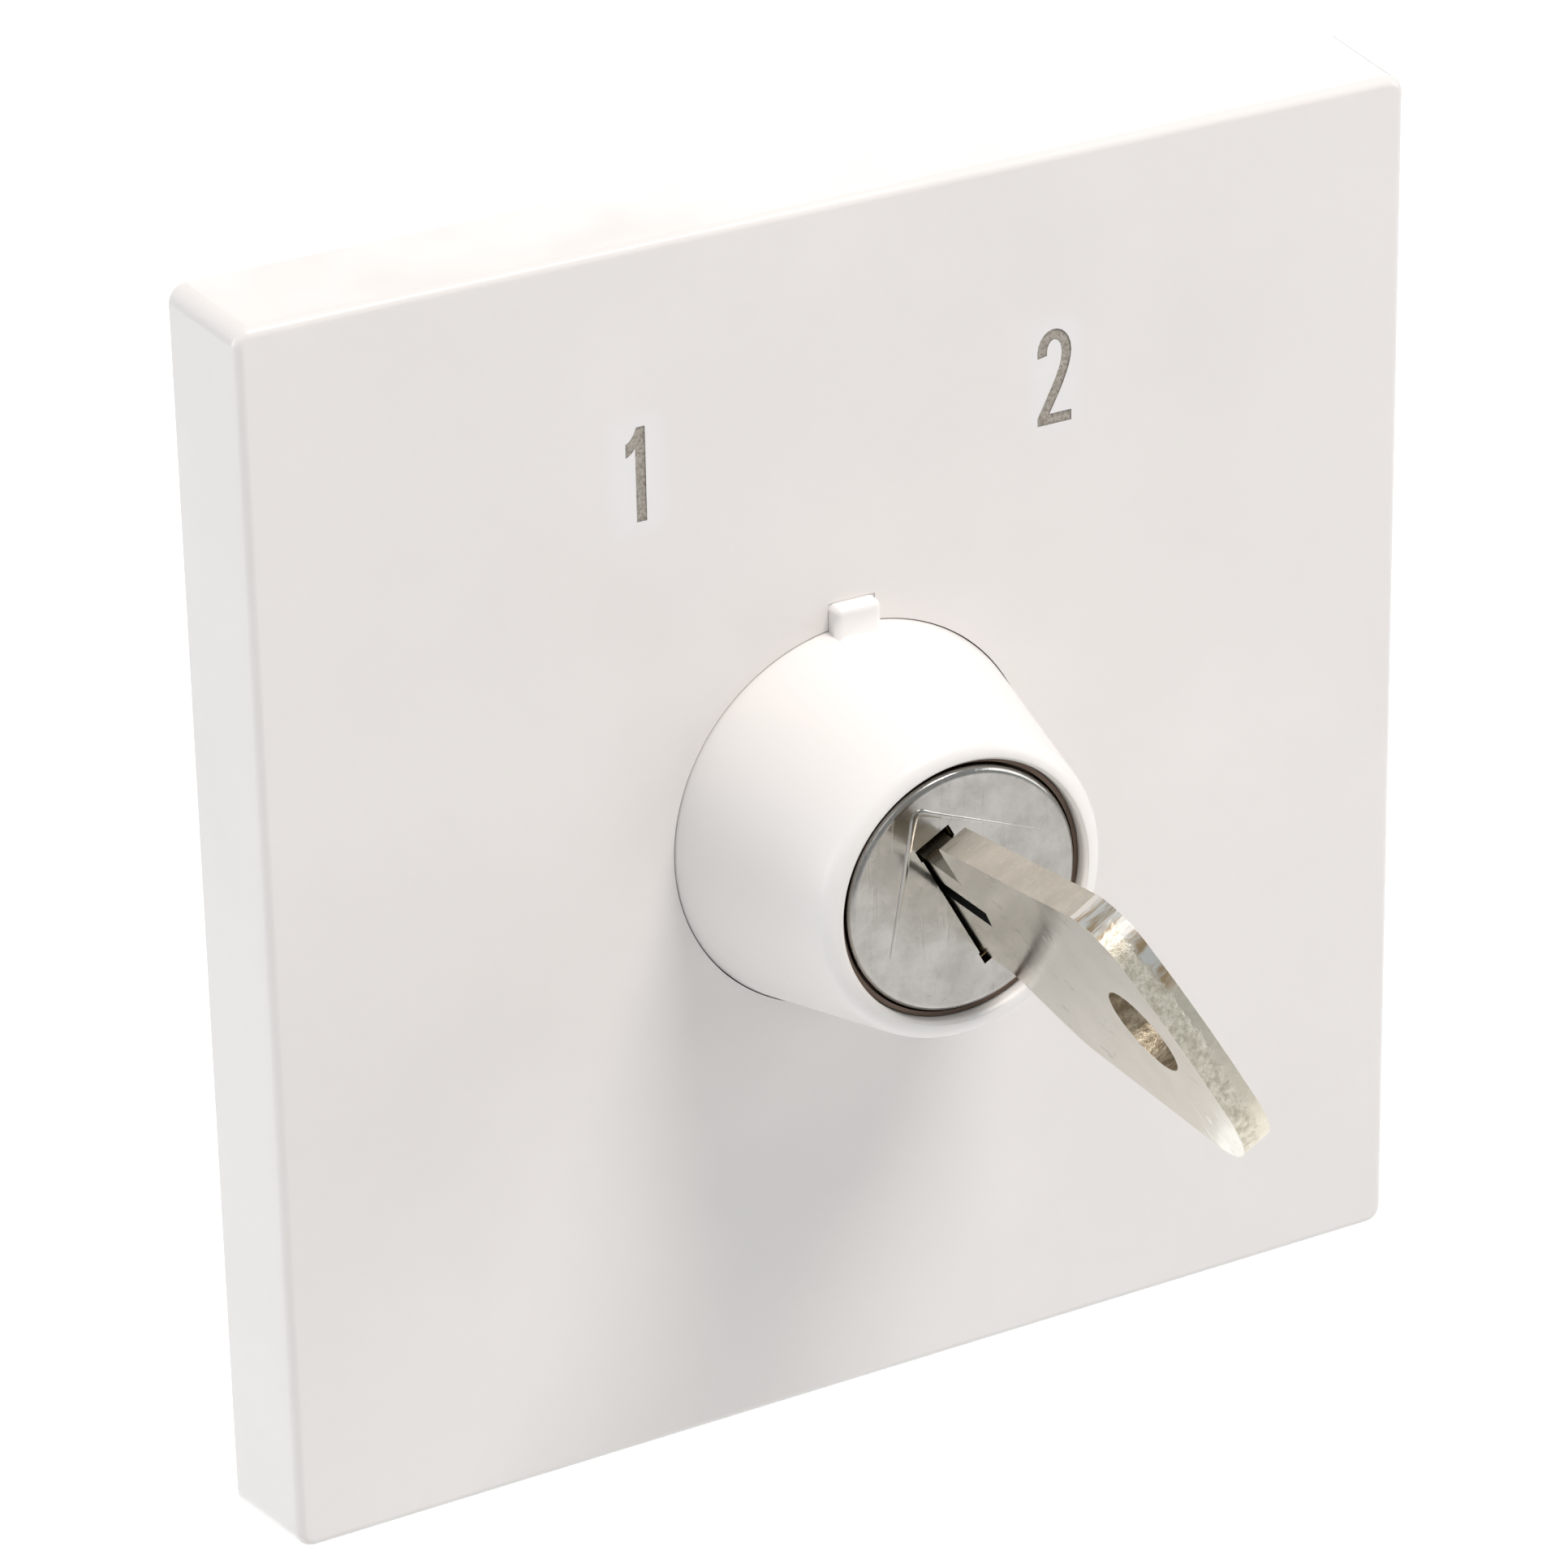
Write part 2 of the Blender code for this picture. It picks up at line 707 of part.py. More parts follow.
def build_support_frame(material):
    """Square steel plate with box-screw slots and ears for the claws."""
    outline = rounded_outline(FRAME_HALF, FRAME_HALF, 3.0 * MM, 4)
    frame = prism("support_frame", outline, -FRAME_THICK, 0.0, material)
    cut(frame, disc("frame_hole_cutter", FRAME_HOLE, -0.01, 0.01))
    half = BOX_SCREW_SPACING / 2.0
    for index, (x, z) in enumerate(((half, 0), (0, half), (-half, 0), (0, -half))):
        slot_x = 1.7 * MM if x else 4.0 * MM
        slot_z = 4.0 * MM if x else 1.7 * MM
        slot = rounded_outline(slot_x, slot_z, 1.65 * MM, 3)
        moved = [(a + x, b + z) for a, b in slot]
        cut(frame, prism(f"box_screw_slot_{index}", moved, -0.01, 0.01))
    for index, (x, z) in enumerate(((-1, -1), (1, -1), (1, 1), (-1, 1))):
        center = (x * BOLT_OFFSET, z * BOLT_OFFSET)
        radius = BOLT_RADIUS + GAP
        cut(frame, disc(f"frame_bolt_hole_{index}", radius, -0.01, 0.01, None, None, 12, center))
    for index, side in enumerate((-1, 1)):
        center = (side * LOCK_SCREW_OFFSET, 0.0)
        radius = 1.5 * MM
        cut(frame, disc(f"frame_lock_hole_{index}", radius, -0.01, 0.01, None, None, 12, center))
        center = (side * CLAW_SCREW_X, 0.0)
        radius = 1.6 * MM
        cut(frame, disc(f"frame_claw_hole_{index}", radius, -0.01, 0.01, None, None, 12, center))
        for end in (-1, 1):
            xs = sorted((side * 22.9 * MM, side * 26.3 * MM))
            zs = sorted((end * 8.6 * MM, end * 9.8 * MM))
            ear = box(f"claw_ear_{index}_{end}", xs, (-0.5 * MM, 3.8 * MM), zs)
            join(frame, ear)
        pin_hole = pin_along_z(
            f"ear_hole_{index}", (side * CLAW_PIVOT_X, CLAW_PIVOT_Y), 1.1 * MM, 12.0 * MM
        )
        cut(frame, pin_hole)
    return frame


def pin_along_z(name, center, radius, half_length, parent=None):
    """Round bar along Z through a claw pivot."""
    bm = bmesh.new()
    place = Matrix.Translation((center[0], center[1], 0.0))
    bmesh.ops.create_cone(
        bm,
        cap_ends=True,
        segments=12,
        radius1=radius,
        radius2=radius,
        depth=2.0 * half_length,
        matrix=place,
    )
    return make_object(name, bm, None, parent)


def build_claw(name, side, material):
    """Toothed arm that reaches into the box, with an inner arm for its screw."""
    pivot = empty(f"claw_pivot_{name}", (side * CLAW_PIVOT_X, CLAW_PIVOT_Y, 0.0))
    inner_end = 6.3 * MM
    arm_front = 5.0 * MM
    arm_back = 6.2 * MM
    tip = 11.2 * MM
    outline = [
        (-0.6 * MM, -0.7 * MM),
        (0.6 * MM, -0.7 * MM),
        (0.6 * MM, tip - 2.0 * MM),
        (1.6 * MM, tip),
        (0.3 * MM, tip),
        (-0.6 * MM, tip - 1.8 * MM),
        (-0.6 * MM, arm_back),
        (-inner_end, arm_back),
        (-inner_end, arm_front),
        (-0.6 * MM, arm_front),
    ]
    loops = []
    half = 7.6 * MM
    for z in (-half, half):
        loops.append([(side * x, y, z) for x, y in outline])
    claw = loft(f"claw_{name}", loops, material, pivot)
    join(claw, pin_along_z(f"claw_pin_{name}", (0.0, 0.0), 0.8 * MM, 9.7 * MM, pivot))
    for index in range(2):
        z = (2 * index - 1) * 4.0 * MM
        xs = sorted((side * -1.0 * MM, side * 3.0 * MM))
        tooth = box(
            f"claw_tooth_gap_{name}_{index}",
            xs,
            (tip - 1.6 * MM, tip + MM),
            (z - 1.2 * MM, z + 1.2 * MM),
            None,
            pivot,
        )
        cut(claw, tooth)
    return claw


def build_claw_screw(name, side, material):
    """Pointed screw through the frame whose tip pushes the claw's inner arm."""
    slider = empty(f"claw_screw_slide_{name}", (side * CLAW_SCREW_X, 0.0, 0.0))
    tip = CLAW_PIVOT_Y + 5.0 * MM - GAP
    profile = [
        (0.0, -3.9 * MM),
        (0.5 * MM, -3.9 * MM),
        (0.5 * MM, -4.3 * MM),
        (2.3 * MM, -4.3 * MM),
        (2.5 * MM, -4.0 * MM),
        (2.5 * MM, -3.8 * MM),
        (1.3 * MM, -3.8 * MM),
        (1.3 * MM, tip - 1.1 * MM),
        (0.3 * MM, tip),
        (0.0, tip),
    ]
    return lathe(f"claw_screw_{name}", profile, material, slider, 16)


# ---------------------------------------------------------------- switch block

def sector(radius, start, end, steps=10):
    """Pie outline between two clockwise angles from straight up."""
    points = [(0.0, 0.0)]
    for i in range(steps + 1):
        points.append(polar(radius, start + (end - start) * i / steps))
    return points


def block_outline():
    return rounded_outline(BLOCK_HALF, BLOCK_HALF, 1.5 * MM, 3)


def cut_bolt_holes(target, tag):
    for index, (x, z) in enumerate(((-1, -1), (1, -1), (1, 1), (-1, 1))):
        center = (x * BOLT_OFFSET, z * BOLT_OFFSET)
        radius = BOLT_RADIUS + GAP
        name = f"{tag}_bolt_hole_{index}"
        cut(target, disc(name, radius, -0.01, 0.04, None, None, 12, center))


def build_bearing_plate(material):
    """Block behind the frame; its arc recess stops the driver's lug at both positions."""
    plate = prism("bearing_plate", block_outline(), BEARING_FRONT, BEARING_BACK, material)
    cut(plate, disc("spigot_recess_cutter", FRAME_HOLE, -0.01, 2.0 * MM))
    cut(plate, disc("driver_recess_cutter", 9.3 * MM, -0.01, 0.02))
    free = math.radians(2.4)
    reach = POSITION_ANGLE + LUG_HALF_ANGLE + free
    arc = sector(LUG_OUTER + GAP, math.pi - reach, math.pi + reach, 12)
    cut(plate, prism("lug_recess_cutter", arc, 4.5 * MM, 0.02))
    for index, side in enumerate((-1, 1)):
        center = (side * LOCK_SCREW_OFFSET, 0.0)
        cut(plate, disc(f"bearing_hole_{index}", 1.5 * MM, -0.01, 4.2 * MM, None, None, 12, center))
    cut_bolt_holes(plate, "bearing")
    return plate


def build_driver(material, axis):
    """Coupling from the plug's flatted tail to the square shaft, with a stop lug."""
    driver = disc("driver", 9.0 * MM, DRIVER_FRONT, DRIVER_BACK, material, axis)
    lug = sector(LUG_OUTER, math.pi - LUG_HALF_ANGLE, math.pi + LUG_HALF_ANGLE, 4)
    lug_tool = prism("driver_lug_tool", lug, 4.9 * MM, 8.7 * MM, None, axis)
    join(driver, lug_tool)
    socket = disc("tail_socket_cutter", TAIL_RADIUS + GAP, 0.0, TAIL_BACK + GAP, None, axis)
    for index, side in enumerate((-1, 1)):
        xs = sorted((side * (TAIL_FLAT + GAP), side * 0.01))
        flat = box(f"socket_flat_{index}", xs, (-MM, 0.01), (-0.01, 0.01), None, axis)
        cut(socket, flat)
    cut(driver, socket)
    half = SHAFT_HALF + GAP
    square = box(
        "shaft_socket_cutter", (-half, half), (SHAFT_FRONT - GAP, 0.02), (-half, half), None, axis
    )
    cut(driver, square)
    return driver


def build_friction_washer(material, axis):
    """Waved ring that loads the driver so that the switch stays where it is put."""
    y0 = DRIVER_BACK + 0.35 * MM
    washer = ring("friction_washer", 5.2 * MM, 8.6 * MM, y0, y0 + 0.3 * MM, material, axis)
    for vert in washer.data.vertices:
        angle = math.atan2(vert.co.z, vert.co.x)
        vert.co.y += 0.05 * MM * math.sin(3.0 * angle)
    return washer


def build_shaft(material, axis):
    half = SHAFT_HALF
    shaft = box("switch_shaft", (-half, half), (SHAFT_FRONT, SHAFT_BACK), (-half, half), material, axis)
    bevel = shaft.modifiers.new("edges", "BEVEL")
    bevel.width = 0.3 * MM
    bevel.segments = 1
    return shaft


def stage_front(stage):
    return STAGE_FRONT + STAGE_PITCH * stage


def stage_middle(stage):
    return stage_front(stage) + 4.9 * MM


def build_stage_housing(stage, material):
    """Open-backed cell with corner posts for the bolts and a guide hole for the plunger."""
    y0 = stage_front(stage)
    y1 = y0 + STAGE_LENGTH
    housing = prism(f"stage_housing_{stage + 1}", block_outline(), y0, y1, material)
    wide = BLOCK_HALF - BLOCK_WALL
    post = 10.6 * MM
    outline = [
        (wide, -post),
        (wide, post),
        (post, post),
        (post, wide),
        (-post, wide),
        (-post, post),
        (-wide, post),
        (-wide, -post),
        (-post, -post),
        (-post, -wide),
        (post, -wide),
        (post, -post),
    ]
    cut(housing, prism(f"cell_cutter_{stage}", outline, y0 + STAGE_FLOOR, y1 + MM))
    cut(housing, disc(f"shaft_hole_{stage}", 4.4 * MM, y0 - MM, y0 + 3 * MM, None, None, 32))
    middle = stage_middle(stage)
    guide = box(
        f"guide_hole_{stage}",
        (0.014, 0.019),
        (middle - 1.4 * MM, middle + 1.4 * MM),
        (-1.6 * MM, 1.6 * MM),
    )
    cut(housing, guide)
    cut_bolt_holes(housing, f"stage_{stage}")
    for index, side in enumerate((-1, 1)):
        zs = sorted((side * 0.014, side * 0.019))
        access = box(
            f"terminal_window_{stage}_{index}",
            (TERMINAL_X - 2.6 * MM, TERMINAL_X + 2.6 * MM),
            (middle - 2.6 * MM, middle + 2.6 * MM),
            zs,
        )
        cut(housing, access)
    return housing


def cam_radius(angle, rising):
    """Cam radius at an angle from +X towards +Z; linear across the working turn."""
    run_on = math.radians(12.0)
    low, high = CAM_LOW, CAM_LOW + CAM_LIFT
    start, end = (low, high) if rising else (high, low)
    if -run_on <= angle <= TURN + run_on:
        part = min(max(angle / TURN, 0.0), 1.0)
        return start + (end - start) * part
    rest = TAU - TURN - 2.0 * run_on
    along = (angle - TURN - run_on) % TAU / rest
    blend = 0.5 - 0.5 * math.cos(math.pi * along)
    return end + (start - end) * blend


def build_cam(stage, material, axis):
    """Cam whose radius changes evenly with the turn, so the plunger moves in proportion."""
    middle = stage_middle(stage)
    outline = []
    steps = 48
    for i in range(steps):
        angle = TAU * i / steps
        signed = angle if angle < math.pi * 1.4 else angle - TAU
        radius = cam_radius(signed, stage == 0)
        local = angle - POSITION_ANGLE
        outline.append((radius * math.cos(local), radius * math.sin(local)))
    cam = prism(f"cam_{stage + 1}", outline, middle - 2.2 * MM, middle + 2.2 * MM, material, axis)
    y0 = stage_front(stage) + STAGE_FLOOR + GAP
    y1 = stage_front(stage) + STAGE_LENGTH - GAP
    join(cam, disc(f"cam_hub_{stage}", CAM_HUB, y0, y1, None, axis))
    half = SHAFT_HALF + GAP
    hole = box(f"cam_square_{stage}", (-half, half), (y0 - MM, y1 + MM), (-half, half), None, axis)
    cut(cam, hole)
    return cam


def contact_offset(stage):
    """Rest position of a stage's plunger: in on stage 1, out on stage 2."""
    return 0.0 if stage == 0 else CAM_LIFT


def build_plunger(stage, material):
    """Follower with a wedge nose, a window for the bridge and a guided tail."""
    middle = stage_middle(stage)
    slider = empty(f"plunger_slide_{stage + 1}", (contact_offset(stage), middle, 0.0))
    nose = CAM_LOW + GAP
    outline = [
        (nose, -0.4 * MM),
        (nose + 1.4 * MM, -2.2 * MM),
        (9.9 * MM, -2.2 * MM),
        (9.9 * MM, 2.2 * MM),
        (nose + 1.4 * MM, 2.2 * MM),
        (nose, 0.4 * MM),
    ]
    plunger = prism(
        f"plunger_{stage + 1}", outline, -2.4 * MM, 2.4 * MM, material, slider
    )
    tail = box(
        f"plunger_tail_{stage}",
        (9.0 * MM, 15.2 * MM),
        (-1.1 * MM, 1.1 * MM),
        (-1.3 * MM, 1.3 * MM),
        None,
        slider,
    )
    join(plunger, tail)
    window = box(
        f"plunger_window_{stage}",
        (7.6 * MM, 9.0 * MM),
        (-1.4 * MM, 1.4 * MM),
        (-0.01, 0.01),
        None,
        slider,
    )
    cut(plunger, window)
    return plunger, slider


def build_bridge(stage, material, slider):
    """Contact bar with a pad at each end, carried in the plunger's window."""
    bridge = box(
        f"bridge_{stage + 1}",
        (8.0 * MM, 8.6 * MM),
        (-1.0 * MM, 1.0 * MM),
        (-BRIDGE_HALF, BRIDGE_HALF),
        material,
        slider,
    )
    return bridge


def build_contact_spring(stage, material):
    """Coil round the plunger's tail, between its shoulder and the cell wall."""
    start = 10.2 * MM + contact_offset(stage)
    end = BLOCK_HALF - BLOCK_WALL - 0.3 * MM
    middle = stage_middle(stage)
    coil = 2.25 * MM
    wire = 0.22 * MM
    turns = 3.5
    around = 5
    steps = int(turns * 12)
    bm = bmesh.new()
    rings = []
    x0 = start + wire
    x1 = end - wire
    for i in range(steps + 1):
        part = i / steps
        angle = TAU * turns * part
        out = Vector((0.0, math.cos(angle), math.sin(angle)))
        place = Vector((x0 + (x1 - x0) * part, middle, 0.0)) + out * coil
        loop = []
        for k in range(around):
            turn = TAU * k / around
            offset = out * math.cos(turn) * wire + Vector((math.sin(turn) * wire, 0.0, 0.0))
            loop.append(bm.verts.new(place + offset))
        rings.append(loop)
    for low, high in zip(rings, rings[1:]):
        for k in range(around):
            n = (k + 1) % around
            bm.faces.new((low[k], low[n], high[n], high[k]))
    bm.faces.new(rings[0])
    bm.faces.new(rings[-1])
    return make_object(f"contact_spring_{stage + 1}", bm, material)


def build_fixed_contact(stage, name, side, material):
    """Strip from the contact pad to the terminal plate, with a screw hole."""
    middle = stage_middle(stage)
    half = 2.2 * MM
    zs = sorted((side * 6.6 * MM, side * 13.2 * MM))
    contact = box(
        f"fixed_contact_{stage + 1}_{name}",
        (6.9 * MM, 7.7 * MM),
        (middle - 1.3 * MM, middle + 1.3 * MM),
        zs,
        material,
    )
    zs = sorted((side * 12.3 * MM, side * 13.2 * MM))
    plate = box(
        f"terminal_plate_{stage}_{name}", (1.6 * MM, 7.6 * MM), (middle - half, middle + half), zs
    )
    join(contact, plate)
    cut(contact, post_along_z(f"terminal_hole_{stage}_{name}", middle, 1.4 * MM, 11.0, 14.5, side))
    return contact


def post_along_z(name, middle, radius, low, high, side, material=None, steps=12):
    """Round post along Z at a terminal, between two heights in millimetres."""
    bm = bmesh.new()
    centre = side * (low + high) / 2.0 * MM
    bmesh.ops.create_cone(
        bm,
        cap_ends=True,
        segments=steps,
        radius1=radius,
        radius2=radius,
        depth=(high - low) * MM,
        matrix=Matrix.Translation((TERMINAL_X, middle, centre)),
    )
    return make_object(name, bm, material)


def build_terminal_screw(stage, name, side, material):
    """Slotted screw on the terminal plate, reached through the cell's window."""
    middle = stage_middle(stage)
    label = f"terminal_screw_{stage + 1}_{name}"
    screw = post_along_z(label, middle, 2.1 * MM, 13.5, 15.3, side, material, 16)
    shank = post_along_z(f"{label}_shank", middle, 1.1 * MM, 10.4, 14.0, side)
    join(screw, shank)
    zs = sorted((side * 14.8 * MM, side * 16.0 * MM))
    slot = box(
        f"{label}_slot", (0.0, 0.009), (middle - 0.3 * MM, middle + 0.3 * MM), zs
    )
    cut(screw, slot)
    return screw


def build_end_cover(material):
    cover = prism("end_cover", block_outline(), COVER_FRONT, COVER_BACK, material)
    cut(cover, disc("cover_hole_cutter", 4.2 * MM, 0.0, 0.05, None, None, 32))
    cut_bolt_holes(cover, "cover")
    return cover


def build_through_bolts(material):
    """Bolts from the end cover to the steel frame, on one diagonal."""
    head_front = COVER_BACK + GAP
    profile = [
        (0.0, -1.0 * MM),
        (BOLT_RADIUS, -1.0 * MM),
        (BOLT_RADIUS, head_front),
        (2.6 * MM, head_front),
        (2.6 * MM, head_front + 1.2 * MM),
        (2.1 * MM, head_front + 1.6 * MM),
        (0.6 * MM, head_front + 1.6 * MM),
        (0.6 * MM, head_front + 1.0 * MM),
        (0.0, head_front + 1.0 * MM),
    ]
    for name, side in (("left", -1), ("right", 1)):
        center = (side * BOLT_OFFSET, side * BOLT_OFFSET)
        lathe(f"through_bolt_{name}", profile, material, None, 16, center)


# ---------------------------------------------------------------- assembly

def main():
    clear_scene()
    white = finish("white_plastic", (0.86, 0.85, 0.83), 0.25)
    collar_white = finish("collar_plastic", (0.88, 0.87, 0.85), 0.35)
    zinc = finish("zinc_casting", (0.55, 0.55, 0.54), 0.35, 1.0)
    steel = finish("polished_steel", (0.62, 0.60, 0.57), 0.18, 1.0)
    brass = finish("plug_brass", (0.72, 0.56, 0.30), 0.3, 1.0)
    wafer_brass = finish("wafer_brass", (0.76, 0.60, 0.33), 0.3, 1.0)
    nickel = finish("nickel_silver", (0.66, 0.62, 0.54), 0.25, 1.0)
    plated = finish("plated_steel", (0.63, 0.63, 0.61), 0.35, 1.0)
    spring_steel = finish("spring_steel", (0.5, 0.5, 0.5), 0.3, 1.0)
    black = finish("black_plastic", (0.03, 0.03, 0.032), 0.45)
    grey = finish("grey_plastic", (0.35, 0.36, 0.37), 0.5)
    cream = finish("cream_plastic", (0.78, 0.74, 0.64), 0.4)
    silver = finish("silver_contact", (0.75, 0.72, 0.66), 0.3, 1.0)
    copper = finish("terminal_brass", (0.72, 0.58, 0.33), 0.35, 1.0)

    axis = empty("lock_axis", (0.0, 0.0, 0.0), -POSITION_ANGLE)

    build_cover_plate(white)
    build_collar(collar_white)
    build_lock_housing(zinc)
    build_lock_screws(plated)
    build_cap(steel, axis)
    build_plug(brass, axis)
    for index in range(WAFER_COUNT):
        build_wafer(index, wafer_brass, axis)
    build_plug_clip(spring_steel, axis)
    build_key(nickel, axis)
    build_driver(zinc, axis)
    build_friction_washer(spring_steel, axis)
    build_shaft(plated, axis)
    build_support_frame(plated)
    for name, side in (("left", -1), ("right", 1)):
        build_claw(name, side, plated)
        build_claw_screw(name, side, plated)
    build_bearing_plate(black)
    for stage in range(2):
        build_stage_housing(stage, grey)
        build_cam(stage, cream, axis)
        plunger, slider = build_plunger(stage, cream)
        build_bridge(stage, silver, slider)
        build_contact_spring(stage, spring_steel)
        for name, side in (("upper", 1), ("lower", -1)):
            build_fixed_contact(stage, name, side, copper)
            build_terminal_screw(stage, name, side, plated)
    build_end_cover(black)
    build_through_bolts(plated)


main()
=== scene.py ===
"""Looks for a two-position selector key switch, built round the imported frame.

Metres, +Z up. The room is on the -Y side and the lock turns about the Y axis.
Every fine piece keeps the place and size of the CAD node that it stands for.
"""

import json
import math

import bmesh
import bpy
from mathutils import Matrix, Vector


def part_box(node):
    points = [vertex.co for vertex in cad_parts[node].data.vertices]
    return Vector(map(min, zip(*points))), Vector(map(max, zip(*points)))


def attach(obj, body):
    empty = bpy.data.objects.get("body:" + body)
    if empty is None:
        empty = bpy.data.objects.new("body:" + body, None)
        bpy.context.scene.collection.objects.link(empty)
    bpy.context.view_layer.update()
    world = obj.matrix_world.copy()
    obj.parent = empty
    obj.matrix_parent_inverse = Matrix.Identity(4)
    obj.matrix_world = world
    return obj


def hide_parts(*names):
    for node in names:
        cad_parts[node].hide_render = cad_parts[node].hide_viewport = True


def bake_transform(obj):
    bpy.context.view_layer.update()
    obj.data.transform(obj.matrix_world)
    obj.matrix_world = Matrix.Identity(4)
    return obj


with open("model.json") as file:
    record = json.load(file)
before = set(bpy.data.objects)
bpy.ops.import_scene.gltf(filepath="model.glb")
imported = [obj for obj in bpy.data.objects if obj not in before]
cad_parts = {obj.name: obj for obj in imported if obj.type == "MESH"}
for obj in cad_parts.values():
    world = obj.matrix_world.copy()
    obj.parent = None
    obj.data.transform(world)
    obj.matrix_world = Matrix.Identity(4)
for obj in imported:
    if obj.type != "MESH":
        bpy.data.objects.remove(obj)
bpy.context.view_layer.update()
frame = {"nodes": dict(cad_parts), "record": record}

MM = 0.001
TAU = math.tau
SCENE = bpy.context.scene

# places and sizes read from the frame
PLATE_LOW, PLATE_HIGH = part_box("cover_plate")
PLATE_HALF = PLATE_HIGH.x
PLATE_FRONT = PLATE_LOW.y
COLLAR_LOW, COLLAR_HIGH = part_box("lock_collar")
COLLAR_BASE = COLLAR_HIGH.x
COLLAR_FRONT = COLLAR_LOW.y
COLLAR_BACK = COLLAR_HIGH.y
TAB_TOP = COLLAR_HIGH.z
CAP_LOW, CAP_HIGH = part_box("face_cap")
CAP_RADIUS = CAP_HIGH.x
RIDGE_HEIGHT = 0.15 * MM
FACE = CAP_LOW.y + RIDGE_HEIGHT
CAP_BACK = CAP_HIGH.y
TURN = math.radians(frame["record"]["behaviour"]["joints"][0]["range_deg"][1])

# what the plain boxes don't say
PLATE_FRONT_HALF = PLATE_HALF - 0.45 * MM
PLATE_FILLET = 0.6 * MM
PLATE_CORNER = 1.15 * MM
PLATE_WALL = 2.0 * MM
HOLE_GAP = 0.08 * MM
NOTCH_GAP = 0.03 * MM
TAB_HALF = 1.6 * MM
TAB_FOOT = 11.2 * MM
POSITION_ANGLE = math.radians(29.0)
DIGIT_RADIUS = 29.1 * MM
DIGIT_ANGLE = math.radians(29.5)
DIGIT_DEPTH = 0.06 * MM
COLLAR_TOP = 9.75 * MM
COLLAR_BORE = 8.33 * MM
SLOT_HALF = 1.3 * MM
SLOT_TOP = 4.5 * MM
SLOT_BOTTOM = -5.3 * MM
KEY_HALF = 1.0 * MM
BLADE_TOP = 3.7 * MM
BLADE_BOTTOM = -4.5 * MM
BLADE_TIP = -1.6 * MM
GROOVE_DEPTH = 0.7 * MM
WAFERS = 5
WAFER_PITCH = 2.7 * MM
FIRST_WAFER = -15.9 * MM
RING_HOLE_RADIUS = 2.9 * MM
RING_HOLE_Y = FACE - 21.65 * MM
RING_HOLE_Z = 0.95 * MM
SLOT_DIRECTION = Matrix.Rotation(-POSITION_ANGLE, 4, "Y")
SLOT_TURN = (0.0, -POSITION_ANGLE, 0.0)
BOLT_OFFSET = 13.3 * MM
BOLT_HOLE = 1.8 * MM
LOCK_SCREW_X = 11.1 * MM
CLAW_SCREW_X = 20.8 * MM
CLAW_PIN_X = 24.6 * MM
CONTACT_Z = 8.0 * MM
FRAME_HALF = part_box("support_frame")[1].x
BLOCK_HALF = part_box("bearing_plate")[1].x
CORNERS = ((-1, -1), (1, -1), (1, 1), (-1, 1))
THREAD_PITCH = 0.5 * MM


# ---------- camera and light

def place_camera():
    azimuth = math.radians(-29.660264)
    elevation = math.radians(25.111007)
    roll = math.radians(-1.113543)
    data = bpy.data.cameras.new("camera")
    data.sensor_width = 36.0
    data.lens = 162.570375
    data.clip_start = 0.01
    data.clip_end = 20.0
    camera = bpy.data.objects.new("camera", data)
    SCENE.collection.objects.link(camera)
    turned = Matrix.Rotation(azimuth, 4, "Z") @ Matrix.Rotation(math.pi / 2 - elevation, 4, "X")
    place = Matrix.Translation((-195.53628 * MM, -342.51472 * MM, 183.68876 * MM))
    camera.matrix_world = place @ turned @ Matrix.Rotation(roll, 4, "Z")
    SCENE.camera = camera


def area_light(name, place, target, size, power, color):
    data = bpy.data.lights.new(name, "AREA")
    data.shape = "DISK"
    data.size = size
    data.energy = power
    data.color = color
    light = bpy.data.objects.new(name, data)
    light.location = place
    light.rotation_euler = (Vector(target) - Vector(place)).to_track_quat("-Z", "Y").to_euler()
    SCENE.collection.objects.link(light)


def light_studio():
    SCENE.view_settings.view_transform = "Standard"
    world = bpy.data.worlds.new("studio")
    SCENE.world = world
    world.use_nodes = True
    background = world.node_tree.nodes["Background"]
    background.inputs["Color"].default_value = (0.925, 0.98, 1.0, 1.0)
    background.inputs["Strength"].default_value = 0.37
    here = (0.0, 0.0, 0.0)
    warm = (1.0, 0.94, 0.905)
    cool = (0.97, 0.985, 1.0)
    area_light("key_softbox", (0.22, -0.42, 0.95), here, 0.5, 9.0, warm)
    area_light("left_softbox", (-1.1, 0.15, 0.2), here, 0.8, 2.4, cool)
    area_light("high_left_softbox", (-0.75, -0.55, 0.75), here, 0.8, 1.2, cool)
    area_light("right_softbox", (1.0, -0.6, 0.3), here, 0.8, 2.7, cool)
    area_light("side_softbox", (-1.0, 0.5, 0.05), here, 0.5, 2.7, cool)
    area_light("rear_softbox", (0.3, 0.75, 1.1), (0.3, 0.7, -0.3), 1.2, 1.0, (1.0, 1.0, 1.0))
    area_light("floor_softbox", (0.42, 0.8, 0.25), (0.42, 0.8, -0.3), 0.9, 6.0, (1.0, 1.0, 1.0))


def lay_floor():
    bpy.ops.mesh.primitive_plane_add(size=8.0, location=(0.0, 0.0, -0.30))
    floor = bpy.context.object
    floor.name = "floor"
    floor.data.materials.append(Graph("floor_paper").finish((0.9, 0.9, 0.9), 0.9))


# ---------- materials

